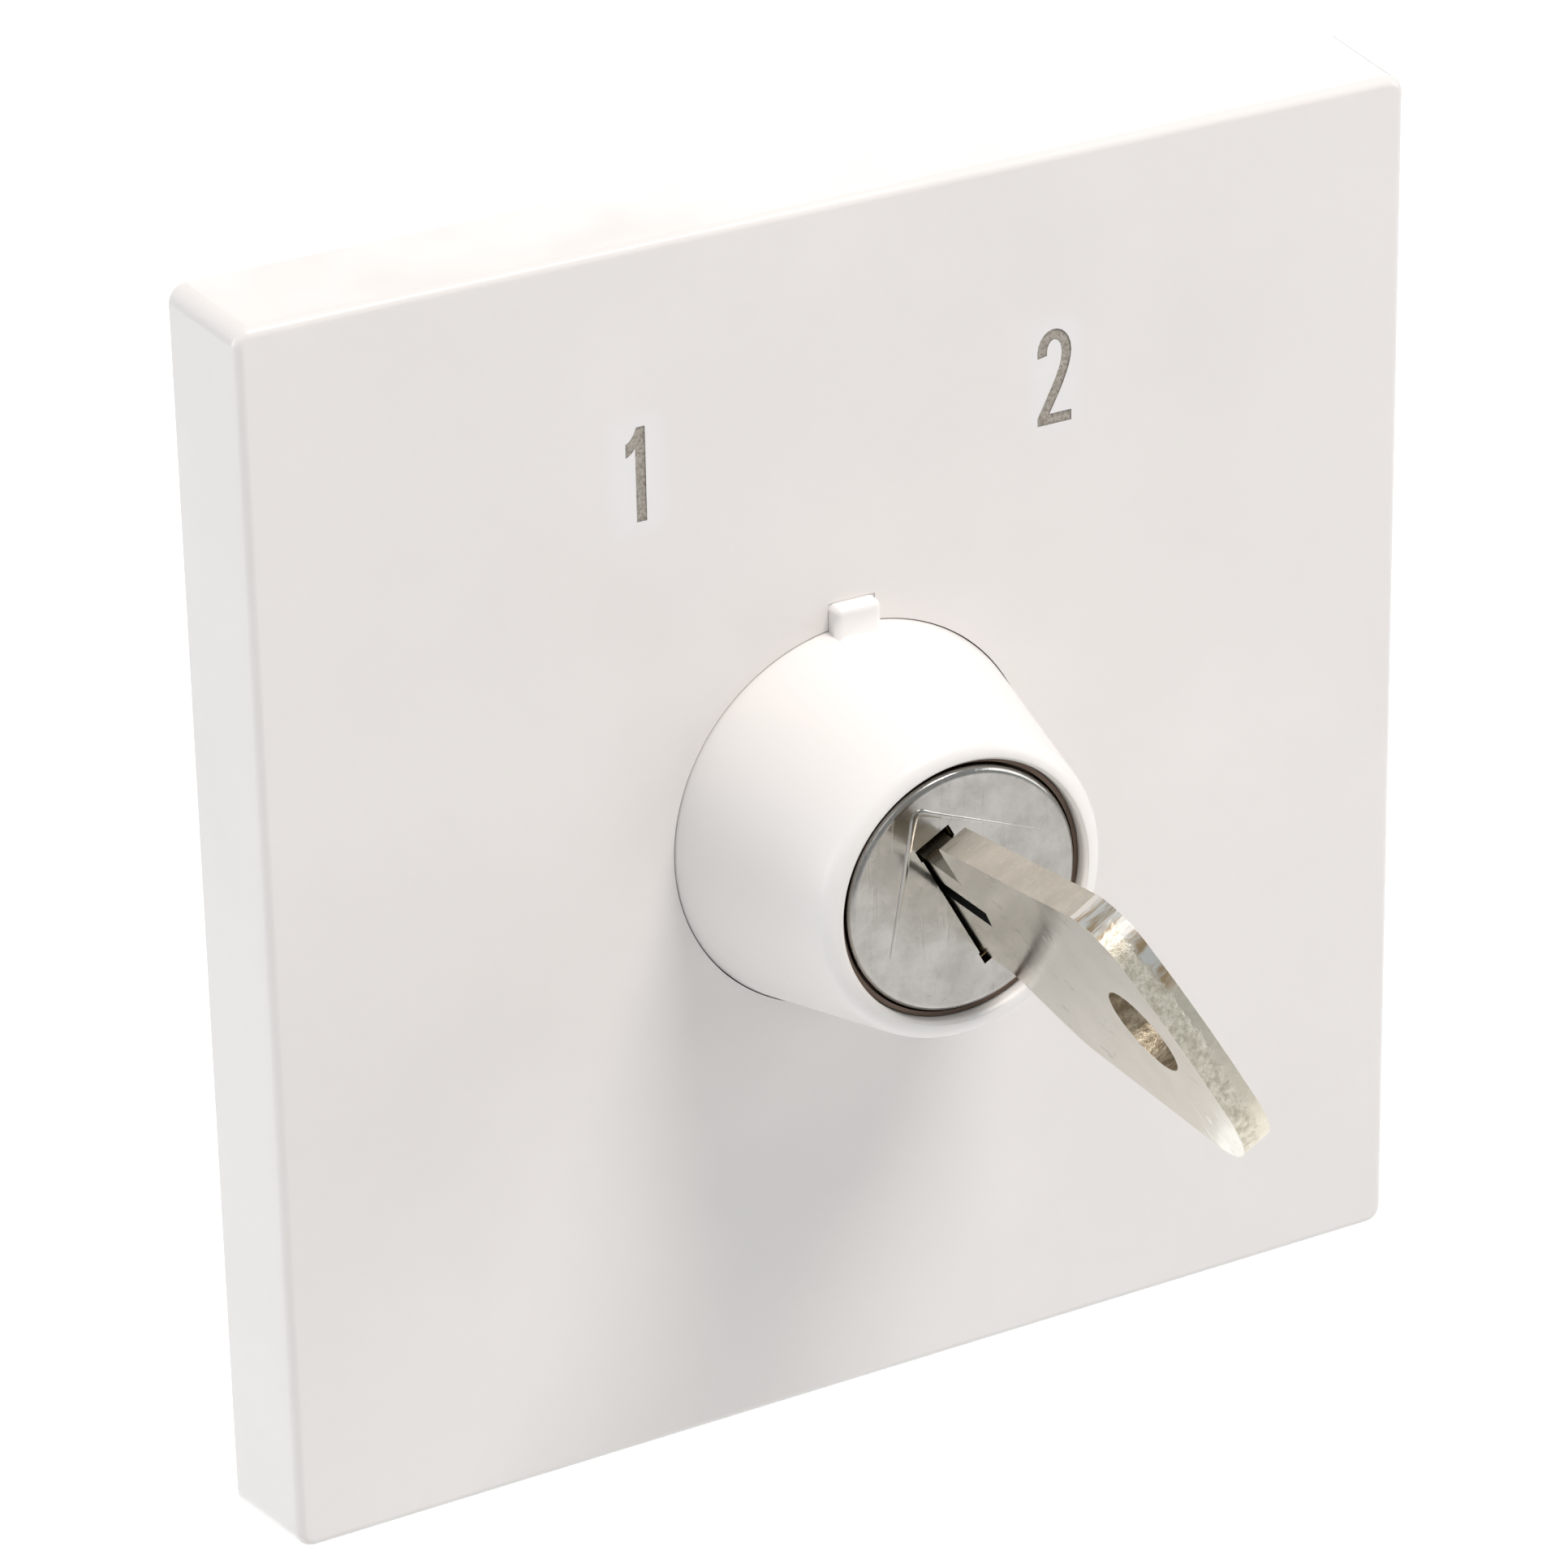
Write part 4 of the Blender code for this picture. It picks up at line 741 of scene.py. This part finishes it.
def arrow_ridge():
    """Embossed arrowhead: one tapering rounded ridge bent round its apex."""
    apex = 6.8 * MM
    spread = math.radians(40.0)
    length = 9.3 * MM
    bend = 0.7 * MM
    arm = 18

    def arm_point(side, part, size):
        reach = bend + (length - bend) * part
        return side * reach * math.sin(spread), apex - reach * math.cos(spread), size

    path = [arm_point(-1, i / arm, 1.0 - 0.55 * i / arm) for i in range(arm, 0, -1)]
    for i in range(9):
        part = i / 8
        angle = -spread + 2.0 * spread * part
        side = -1.0 + 2.0 * part
        x = side * bend * math.sin(spread)
        drop = bend * math.cos(spread) * (0.5 + 0.5 * side * side)
        path.append((x, apex - drop, 1.0 + 0.15 * math.cos(angle)))
    path += [arm_point(1, i / arm, 0.85 - 0.72 * i / arm) for i in range(1, arm + 1)]
    loops = []
    for i, (x, z, size) in enumerate(path):
        before = Vector(path[max(i - 1, 0)][:2])
        after = Vector(path[min(i + 1, len(path) - 1)][:2])
        onward = (after - before).normalized()
        across = Vector((-onward.y, onward.x))
        loop = []
        for k in range(9):
            turn = math.pi * k / 8
            shift = across * math.cos(turn) * 0.23 * MM * size
            rise = math.sin(turn) * 0.62 * RIDGE_HEIGHT * size
            loop.append((x + shift.x, FACE - rise, z + shift.y))
        for root in (-0.2 * MM * size, 0.2 * MM * size):
            loop.append((x + across.x * root, FACE + 0.2 * MM, z + across.y * root))
        loops.append(loop)
    return loft("arrow_tool", loops)


def build_cap(material):
    """Drawn disc with a rounded edge, a faint coined ring, the slot and the arrowhead."""
    edge = 0.44 * MM
    ring_at = 7.1 * MM
    dip = 0.03 * MM
    profile = [(0.0, FACE), (3.0 * MM, FACE), (ring_at - 0.4 * MM, FACE), (ring_at - 0.3 * MM, FACE)]
    profile += [(ring_at - 0.12 * MM, FACE + dip), (ring_at + 0.08 * MM, FACE + dip)]
    profile += [(ring_at + 0.26 * MM, FACE - 0.01 * MM)]
    profile += arc((CAP_RADIUS - edge, FACE + edge), edge, -90.0, 0.0, 8)
    profile += [(CAP_RADIUS, CAP_BACK), (0.0, CAP_BACK)]
    cap = lathe("face_cap_fine", profile, material, 160)
    wide_end = 0.9 * MM
    deep = (-0.03, 0.0)
    cuts = [block("slot", around(0.0, SLOT_HALF - 0.1 * MM), deep, (SLOT_BOTTOM, SLOT_TOP))]
    for span in ((SLOT_BOTTOM, SLOT_BOTTOM + wide_end), (SLOT_TOP - wide_end, SLOT_TOP)):
        cuts.append(block("slot_end", around(0.0, SLOT_HALF), deep, span))
    carve(cap, [arrow_ridge()], cuts, sharp=25.0)
    cap.data.transform(SLOT_DIRECTION)
    piece(cap, "rotor", "face_cap")


def in_groove(centre):
    inside = -KEY_HALF + 0.15 * MM < centre.x < -KEY_HALF + GROOVE_DEPTH + 0.05 * MM
    return inside and 0.25 * MM < centre.z < 1.95 * MM and centre.y > FACE - 6.0 * MM


def narrow_side_finish(centre):
    """1 machined side, 2 rounded corner and torn end, 3 wall of the ring hole."""
    if math.hypot(centre.y - RING_HOLE_Y, centre.z - RING_HOLE_Z) < RING_HOLE_RADIUS + 0.1 * MM:
        return 3
    if centre.y < FACE - 20.6 * MM and centre.z > -9.3 * MM:
        return 2
    return 1


def build_key(*finishes):
    """Flat stamped key, its narrow sides and its torn bow end finished on their own."""
    corners = [
        (BLADE_TOP, FACE - 3.9 * MM, 0.0),
        (6.7 * MM, FACE - 3.9 * MM, 0.4 * MM),
        (10.9 * MM, FACE - 23.9 * MM, 3.4 * MM),
        (3.0 * MM, FACE - 26.8 * MM, 40.0 * MM),
        (-8.8 * MM, FACE - 28.4 * MM, 4.8 * MM),
        (-7.4 * MM, FACE - 9.0 * MM, 7.0 * MM),
        (BLADE_BOTTOM, FACE - 3.4 * MM, 1.5 * MM),
        (BLADE_BOTTOM, BLADE_TIP - 2.6 * MM, 0.0),
        (-1.8 * MM, BLADE_TIP, 0.0),
        (1.2 * MM, BLADE_TIP, 0.0),
        (BLADE_TOP, BLADE_TIP - 2.2 * MM, 0.0),
    ]
    outline = [(y, z) for z, y in rounded_polygon(corners, 12)]
    key = prism_x("key_fine", outline, -KEY_HALF, KEY_HALF, finishes[0])
    hole = disc("ring_hole", RING_HOLE_RADIUS, *around(0.0, 3.0 * MM), steps=64)
    hole.data.transform(Matrix.Rotation(math.pi / 2, 4, "Z"))
    hole.data.transform(Matrix.Translation((0.0, RING_HOLE_Y, RING_HOLE_Z)))
    cuts = [hole]
    top = BLADE_TOP + MM
    for index in range(WAFERS):
        floor = BLADE_TOP - (0.9 + 0.5 * ((index * 2) % 3)) * MM
        flare = (top - floor) * 0.45
        near, far = around(FIRST_WAFER + WAFER_PITCH * index + 0.5 * MM, 0.5 * MM)
        notch = [(near, floor), (far, floor), (far + flare, top), (near - flare, top)]
        cuts.append(prism_x("bit", notch, *around(0.0, 2.0 * KEY_HALF)))
    groove = [(FACE - 5.0 * MM, 0.5 * MM), (0.0, 0.3 * MM), (0.0, 1.8 * MM), (FACE - 5.4 * MM, 1.9 * MM)]
    cuts.append(prism_x("groove", groove, -2.0 * MM, -KEY_HALF + GROOVE_DEPTH))
    carve(key, [], cuts, 0.1 * MM, segments=3)
    for finish in finishes[1:]:
        key.data.materials.append(finish)
    # Slot 4, the groove, takes the near-black painted shade; the narrow sides take their finishes.
    for polygon in key.data.polygons:
        if in_groove(polygon.center):
            polygon.material_index = 4
        elif abs(polygon.normal.x) < 0.5:
            polygon.material_index = narrow_side_finish(polygon.center)
    key.data.transform(SLOT_DIRECTION)
    piece(key, "key", "key")


def build_plug(material):
    """Plug with its head, clip groove and drive flats, cut for the key and the wafers."""
    head_front = CAP_BACK + 0.3 * MM
    head, barrel, groove, tail = 7.5 * MM, 6.3 * MM, 5.2 * MM, 4.5 * MM
    profile = [(0.0, head_front), (head, head_front), (head, -18.4 * MM), (barrel, -18.4 * MM)]
    profile += [(barrel, 1.5 * MM), (groove, 1.5 * MM), (groove, 2.9 * MM), (barrel, 2.9 * MM)]
    profile += [(barrel, 3.9 * MM), (tail, 3.9 * MM), (tail, 6.4 * MM), (0.0, 6.4 * MM)]
    plug = lathe("lock_plug_fine", profile, material, 96)
    cuts = [block("keyway", around(0.0, SLOT_HALF), (-0.03, -0.9 * MM), (SLOT_BOTTOM, SLOT_TOP))]
    for index in range(WAFERS):
        y = FIRST_WAFER + WAFER_PITCH * index
        span = (y - 0.3 * MM, y + 1.3 * MM)
        cuts.append(block("wafer_slot", around(0.0, 2.5 * MM), span, around(0.0, 8.0 * MM)))
    for side in (-1, 1):
        cuts.append(block("flat", outward(side, 3.0 * MM, 0.01), (3.9 * MM, 0.01), (-0.01, 0.01)))
    carve(plug, [], cuts, 0.08 * MM)
    plug.data.transform(SLOT_DIRECTION)
    piece(plug, "rotor", "lock_plug")


def build_barrel(material):
    """Lock barrel: its mouth stands round the cap inside the collar; its dark brown is partly the barrel's
    metal and partly painted shade of the narrow gap round the cap.
    """
    bore, radius, flange, spigot = 6.6 * MM, 8.0 * MM, 14.0 * MM, 9.7 * MM
    # The mouth's lip fills the gap round the cap, where its dark brown stands in for the gap's shade.
    lip = (CAP_RADIUS + 0.12 * MM, COLLAR_BORE - 0.06 * MM)
    lip_end = FACE + 0.45 * MM
    profile = [(bore, -18.1 * MM), (lip[0], -18.1 * MM), (lip[0], lip_end), (lip[1], lip_end)]
    profile += [(lip[1], -18.3 * MM), (radius, -18.1 * MM), (radius, -4.3 * MM), (flange, -4.3 * MM)]
    profile += [(flange, -1.5 * MM), (spigot, -1.5 * MM), (spigot, 1.5 * MM), (bore, 1.5 * MM)]
    barrel = lathe("lock_housing_fine", profile, material, 120)
    cuts = []
    for side in (-1, 1):
        channel = block("channel", around(0.0, 2.5 * MM), (-16.9 * MM, -3.1 * MM), (-7.19 * MM, -4.0 * MM))
        channel.data.transform(Matrix.Rotation(side * POSITION_ANGLE, 4, "Y"))
        cuts.append(channel)
        centre = (side * LOCK_SCREW_X, 0.0)
        cuts.append(disc("hole", 1.5 * MM, -6.0 * MM, 0.0, centre, 32))
        cuts.append(disc("seat", 2.5 * MM, -6.0 * MM, -3.0 * MM, centre, 32))
    carve(barrel, [], cuts, 0.08 * MM)
    piece(barrel, "housing", "lock_housing")


# ---------- screws and springs

def along(place, direction):
    """Matrix that stands a piece modelled along +Y at a place, pointing in a direction."""
    turn = Vector((0.0, 1.0, 0.0)).rotation_difference(Vector(direction))
    return Matrix.Translation(place) @ turn.to_matrix().to_4x4()


def build_screw(node, direction, size, steel, body="housing"):
    """Domed cross-recessed screw with a rolled thread, in the box of its CAD node."""
    head_radius, head_height, shank_radius = size
    low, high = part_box(node)
    way = Vector(direction)
    length = abs((high - low).dot(way))
    cone = 1.6 * shank_radius
    dome = ((0.0, 0.0), (0.5, 0.03), (0.8, 0.14), (0.95, 0.32), (1.0, 0.55), (1.0, 1.0))
    profile = [(head_radius * across, head_height * down) for across, down in dome]
    profile.append((shank_radius, head_height))
    start = head_height + THREAD_PITCH
    end = length - cone
    rings = max(4, int((end - start) / THREAD_PITCH * 6))
    profile += [(shank_radius, start + (end - start) * i / rings) for i in range(rings + 1)]
    profile += [(0.45 * shank_radius, length - 0.25 * cone), (0.0, length)]

    def thread(y, angle):
        if y < start or y > end:
            return 0.0
        return -0.14 * shank_radius * (0.5 - 0.5 * math.cos(TAU * y / THREAD_PITCH - angle))

    screw = lathe(f"{node}_fine", profile, steel, 32, (0.0, 0.0), thread)
    wide = around(0.0, 0.62 * head_radius)
    narrow = around(0.0, 0.13 * head_radius)
    deep = (-MM, min(0.55 * head_height, 0.9 * MM))
    carve(screw, [], crossed("cross", wide, deep, narrow))
    screw.data.transform(along((low + high) / 2.0 - way * length / 2.0, way))
    piece(screw, body, node)


def coil_spring(name, x0, x1, middle, radius, wire, turns, material):
    """Compression spring along X with closed end coils."""
    steps = int((turns + 2.0) * 28)
    sides = 10
    loops = []
    for i in range(steps + 1):
        winding = (turns + 2.0) * i / steps
        angle = TAU * winding
        free = min(max((winding - 1.0) / turns, 0.0), 1.0)
        closed = 2.0 * wire * (min(winding, 1.0) - 1.0 + max(winding - turns - 1.0, 0.0))
        x = x0 + 3.0 * wire + (x1 - x0 - 6.0 * wire) * free + closed
        out = Vector((0.0, math.cos(angle), math.sin(angle)))
        place = Vector((x, middle, 0.0)) + out * radius
        loop = []
        for k in range(sides):
            turn = TAU * k / sides
            offset = out * math.cos(turn) * wire + Vector((math.sin(turn) * wire, 0.0, 0.0))
            loop.append(place + offset)
        loops.append(loop)
    return soften(loft(name, loops, material), 0.0)


# ---------- frame, claws and block

def at_corners(name, radius, y0, y1, steps=32):
    return [disc(name, radius, y0, y1, (x * BOLT_OFFSET, z * BOLT_OFFSET), steps) for x, z in CORNERS]


def plain_block(name, material):
    """Rounded square body of a CAD node behind the frame, with the low and high corners of its box."""
    low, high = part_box(name)
    outline = rounded_outline(BLOCK_HALF, BLOCK_HALF, 1.5 * MM, 6)
    return low, high, prism(f"{name}_fine", outline, low.y, high.y, material)


def middle_of_stage(stage):
    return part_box(f"stage_housing_{stage + 1}")[0].y + 4.9 * MM


def build_frame(material):
    """Stamped steel frame: box-screw slots, claw ears and coined grooves that stiffen it."""
    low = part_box("support_frame")[0]
    outline = rounded_outline(FRAME_HALF, FRAME_HALF, 3.0 * MM, 8)
    steel = prism("support_frame_fine", outline, low.y, 0.0, material)
    cuts = [disc("hole", 10.0 * MM, -0.01, 0.01, steps=96)]
    cuts += at_corners("bolt_hole", BOLT_HOLE, -0.01, 0.01)
    half = 30.0 * MM
    for x, z in ((half, 0), (0, half), (-half, 0), (0, -half)):
        wide, tall = (1.7 * MM, 4.0 * MM) if x else (4.0 * MM, 1.7 * MM)
        slot = rounded_outline(wide, tall, 1.65 * MM, 6)
        cuts.append(prism("slot", [(a + x, b + z) for a, b in slot], -0.01, 0.01))
    for x, z in CORNERS:
        groove = rounded_outline(5.0 * MM, 0.8 * MM, 0.75 * MM, 6)
        bead = prism("bead", groove, -0.25 * MM, 0.01)
        bead.data.transform(Matrix.Translation((x * 26.5 * MM, 0.0, z * 31.0 * MM)))
        cuts.append(bead)
    joins = []
    for side in (-1, 1):
        cuts.append(disc("lock_hole", 1.5 * MM, -0.01, 0.01, (side * LOCK_SCREW_X, 0.0), 32))
        cuts.append(disc("claw_hole", 1.6 * MM, -0.01, 0.01, (side * CLAW_SCREW_X, 0.0), 32))
        middle = side * CLAW_PIN_X
        ear = [(-1.7, -0.5), (1.7, -0.5), (1.7, 2.1)]
        ear += [(1.7 * math.cos(a), 2.1 + 1.7 * math.sin(a)) for a in (0.4, 0.8, 1.2, 1.57, 1.94, 2.34, 2.74)]
        ear += [(-1.7, 2.1)]
        for end in (-1, 1):
            zs = outward(end, 8.6 * MM, 9.8 * MM)
            joins.append(loft("ear", [[(middle + x * MM, y * MM, z) for x, y in ear] for z in zs]))
        pin = disc("pin_hole", 1.1 * MM, *around(0.0, 12.0 * MM), steps=32)
        pin.data.transform(along((middle, 2.0 * MM, 0.0), (0.0, 0.0, 1.0)))
        cuts.append(pin)
    carve(steel, joins, cuts, 0.12 * MM)
    piece(steel, "housing", "support_frame")


def build_bearing_plate(material):
    """Square bearing plate with a driver recess and sunk panels in its four sides."""
    low, high, bearing = plain_block("bearing_plate", material)
    cuts = [disc("spigot", 10.0 * MM, -0.01, 2.0 * MM, steps=96)]
    cuts.append(disc("driver_recess", 9.3 * MM, -0.01, 0.02, steps=96))
    reach = POSITION_ANGLE + math.radians(11.4)
    wedge = [(0.0, 0.0)]
    wedge += [polar(11.5 * MM, math.pi + reach * (i / 12.0 - 1.0)) for i in range(25)]
    cuts.append(prism("lug_recess", wedge, 4.5 * MM, 0.02))
    span = (low.y + 2.2 * MM, high.y - 2.2 * MM)
    for side in (-1, 1):
        cuts.append(disc("screw_hole", 1.5 * MM, -0.01, 4.2 * MM, (side * LOCK_SCREW_X, 0.0), 32))
        face = outward(side, BLOCK_HALF - 0.5 * MM, BLOCK_HALF + MM)
        cuts += crossed("panel", face, span, around(0.0, 9.5 * MM))
    cuts += at_corners("bolt_hole", BOLT_HOLE, -0.01, 0.04)
    carve(bearing, [], cuts, 0.2 * MM, segments=3)
    piece(bearing, "housing", "bearing_plate")


def build_stage(stage, material):
    """Contact cell: thin walls, corner posts, terminal windows with rims, ribs and its number."""
    name = f"stage_housing_{stage + 1}"
    low, high, cell = plain_block(name, material)
    middle = middle_of_stage(stage)
    wide = BLOCK_HALF - 1.5 * MM
    post = 10.6 * MM
    inside = []
    for x, z in ((1, -1), (1, 1), (-1, 1), (-1, -1)):
        post_corners = [(x * wide, z * post, 0.3 * MM), (x * post, z * post, 1.5 * MM)]
        post_corners.append((x * post, z * wide, 0.3 * MM))
        inside += post_corners[:: x * z]
    cuts = [prism("cell", rounded_polygon(inside, 5), low.y + 1.2 * MM, high.y + MM)]
    cuts.append(disc("shaft_hole", 4.4 * MM, low.y - MM, low.y + 3.0 * MM, steps=64))
    wall = (14.0 * MM, 19.0 * MM)
    proud = (BLOCK_HALF - 0.5 * MM, BLOCK_HALF + 0.35 * MM)
    cuts.append(block("guide", wall, around(middle, 1.4 * MM), around(0.0, 1.6 * MM)))
    cuts += at_corners("bolt_hole", BOLT_HOLE, -0.01, 0.04)
    joins = []
    for side in (-1, 1):
        rim, window = 3.5 * MM, 2.6 * MM
        x = 4.4 * MM
        joins.append(block("rim", around(x, rim), around(middle, rim), outward(side, *proud)))
        cuts.append(block("window", around(x, window), around(middle, window), outward(side, *wall)))
    span = (low.y + 1.4 * MM, high.y - 1.4 * MM)
    for z in (-9.0 * MM, -4.5 * MM, 4.5 * MM, 9.0 * MM):
        joins.append(block("rib", outward(-1, *proud), span, around(z, 0.5 * MM)))
    joins.append(block("guard", proud, around(middle, 2.3 * MM), around(0.0, 2.6 * MM)))
    carve(cell, joins, cuts, 0.12 * MM)
    number = (digit_one, digit_two)[stage]((0.0, 0.0), -0.25 * MM, 0.3 * MM, material)
    number.data.transform(Matrix.Scale(0.85, 4))
    number.data.transform(Matrix.Rotation(-math.pi / 2, 4, "Z"))
    number.data.transform(Matrix.Translation((-BLOCK_HALF, middle, 0.0)))
    carve(cell, [number], [])
    piece(cell, "housing", name)


def build_end_cover(material):
    """Cover with a stepped rim, corner bosses, a collar round the shaft and stiffening ribs."""
    high, cover = plain_block("end_cover", material)[1:]
    pocket = high.y - 0.7 * MM
    inner = BLOCK_HALF - 1.6 * MM
    carve(cover, [], [prism("pocket", rounded_outline(inner, inner, 1.0 * MM, 4), pocket, 0.05)])
    root = pocket - 0.5 * MM
    joins = [disc("shaft_collar", 6.2 * MM, root, high.y, steps=96)]
    joins += at_corners("boss", 3.1 * MM, root, high.y, 48)
    for index in range(8):
        reach = (5.5 * MM, inner + 0.3 * MM)
        rib = block("rib", reach, (root, high.y - 0.15 * MM), around(0.0, 0.45 * MM))
        rib.data.transform(Matrix.Rotation(math.radians(45.0 * index), 4, "Y"))
        joins.append(rib)
    cuts = [disc("shaft_hole", 4.2 * MM, 0.0, 0.05, steps=64), *at_corners("bolt_hole", BOLT_HOLE, 0.0, 0.05)]
    carve(cover, joins, cuts, 0.12 * MM)
    piece(cover, "housing", "end_cover")


def cam_radius(angle, rising):
    """Radius of a cam at an angle from +X towards +Z; even across the working turn."""
    run_on = math.radians(12.0)
    low, high = 5.2 * MM, 7.2 * MM
    start, end = (low, high) if rising else (high, low)
    if -run_on <= angle <= TURN + run_on:
        return start + (end - start) * min(max(angle / TURN, 0.0), 1.0)
    rest = TAU - TURN - 2.0 * run_on
    blend = 0.5 - 0.5 * math.cos(math.pi * ((angle - TURN - run_on) % TAU / rest))
    return end + (start - end) * blend


def build_cam(stage, material):
    """Cam disc on its hub, with a square hole for the shaft."""
    name = f"cam_{stage + 1}"
    low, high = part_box(name)
    middle = middle_of_stage(stage)
    outline = []
    for i in range(144):
        angle = TAU * i / 144
        signed = angle if angle < math.pi * 1.4 else angle - TAU
        radius = cam_radius(signed, stage == 0)
        local = angle - POSITION_ANGLE
        outline.append((radius * math.cos(local), radius * math.sin(local)))
    cam = prism(f"{name}_fine", outline, *around(middle, 2.2 * MM), material)
    hub = disc("hub", 4.7 * MM, low.y, high.y, steps=64)
    square = around(0.0, 2.8 * MM)
    hole = block("square", square, (low.y - MM, high.y + MM), square)
    carve(cam, [hub], [hole], 0.12 * MM)
    cam.data.transform(SLOT_DIRECTION)
    piece(cam, "rotor", name)


def contact_dome(place, direction):
    """Shallow riveted silver pad, sunk into what carries it."""
    profile = [(0.0, 0.0), (0.5 * MM, 0.015 * MM), (0.85 * MM, 0.06 * MM), (1.0 * MM, 0.12 * MM)]
    dome = lathe("dome", [*profile, (1.0 * MM, 0.4 * MM), (0.0, 0.4 * MM)], None, 32)
    dome.data.transform(along(place, direction))
    return dome


def build_stage_metal(stage, silver, brass, steel, spring):
    """Bridge, fixed contacts, terminal screws and spring of one contact cell."""
    number = stage + 1
    plunger = f"plunger_{number}"
    name = f"bridge_{number}"
    low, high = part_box(name)
    middle = (low.y + high.y) / 2.0
    bridge = block(f"{name}_fine", *zip(low, high), silver)
    dome_x = low.x - 0.1 * MM
    domes = [contact_dome((dome_x, middle, side * CONTACT_Z), (1.0, 0.0, 0.0)) for side in (-1, 1)]
    carve(bridge, domes, [], 0.06 * MM)
    piece(bridge, plunger, name)
    for side, end in ((1, "upper"), (-1, "lower")):
        name = f"fixed_contact_{number}_{end}"
        contact = refined(name, "housing", brass, 0.08 * MM)
        dome_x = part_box(name)[1].x + 0.1 * MM
        dome = contact_dome((dome_x, middle_of_stage(stage), side * CONTACT_Z), (-1.0, 0.0, 0.0))
        dome.data.materials.append(silver)
        carve(contact, [dome], [])
        build_screw(f"terminal_screw_{number}_{end}", (0, 0, -side), (2.1 * MM, 1.8 * MM, 1.1 * MM), steel)
    name = f"contact_spring_{number}"
    low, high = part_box(name)
    size = (2.25 * MM, 0.22 * MM, 3.5)
    coil = coil_spring(f"{name}_fine", low.x, high.x, middle_of_stage(stage), *size, spring)
    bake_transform(coil)
    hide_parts(name)


def build_long_screws(steel):
    for side in ("left", "right"):
        build_screw(f"through_bolt_{side}", (0, -1, 0), (2.6 * MM, 1.6 * MM, 1.5 * MM), steel)
        claw_screw = f"claw_screw_{side}"
        build_screw(claw_screw, (0, 1, 0), (2.5 * MM, 0.9 * MM, 1.3 * MM), steel, claw_screw)
        build_screw(f"lock_screw_{side}", (0, 1, 0), (2.1 * MM, 1.0 * MM, 1.2 * MM), steel)


# ---------- assembly

def main():
    place_camera()
    light_studio()
    lay_floor()
    marking = marking_material()
    white = white_plastic("plate_white", (0.82, 0.785, 0.765), 0.18, True)
    collar_white = white_plastic("collar_white", (0.865, 0.835, 0.815), 0.3)
    zinc = metal("zinc_casting", (0.42, 0.42, 0.42), 0.42, 0.2, 500.0, 0.4)
    wafer_brass = metal("wafer_brass", (0.70, 0.54, 0.30), 0.3, lines=0.3)
    plated = metal("plated_steel", (0.60, 0.60, 0.58), 0.3, 0.2, 900.0)
    spring = metal("spring_steel", (0.52, 0.51, 0.49), 0.25)
    black = moulded("black_plastic", (0.022, 0.022, 0.024), 0.42)
    grey = moulded("grey_plastic", (0.22, 0.225, 0.235), 0.45)
    cream = moulded("cream_plastic", (0.68, 0.63, 0.52), 0.4)
    silver = metal("silver_contact", (0.74, 0.72, 0.68), 0.25)
    brass = metal("terminal_brass", (0.66, 0.50, 0.27), 0.3)

    build_plate(white, marking)
    build_collar(collar_white)
    build_cap(cap_steel())
    build_plug(metal("plug_brass", (0.62, 0.47, 0.26), 0.3, lines=0.3))
    # Near-black in the key's groove is painted shade of the groove.
    painted_groove_shade = moulded("key_groove_painted_shade", (0.012, 0.011, 0.010), 0.55, 0.01)
    build_key(key_face(), key_edge(), key_end(), key_bore(), painted_groove_shade)
    # Dark brown barrel: partly the barrel's metal, partly painted shade of the gap round the cap.
    build_barrel(metal("barrel_metal_and_painted_gap_shade", (0.17, 0.125, 0.10), 0.45))
    for index in range(WAFERS):
        wafer = f"wafer_{index + 1}"
        refined(wafer, wafer, wafer_brass, 0.06 * MM)
    refined("plug_clip", "rotor", spring, 0.08 * MM)
    refined("driver", "rotor", zinc)
    refined("friction_washer", "rotor", spring, 0.04 * MM)
    refined("switch_shaft", "rotor", plated, 0.08 * MM)
    build_frame(plated)
    for claw in ("claw_left", "claw_right"):
        refined(claw, claw, plated, 0.12 * MM)
    build_long_screws(plated)
    build_bearing_plate(black)
    for stage in range(2):
        build_stage(stage, grey)
        build_cam(stage, cream)
        plunger = f"plunger_{stage + 1}"
        refined(plunger, plunger, cream)
        build_stage_metal(stage, silver, brass, plated, spring)
    build_end_cover(black)


main()
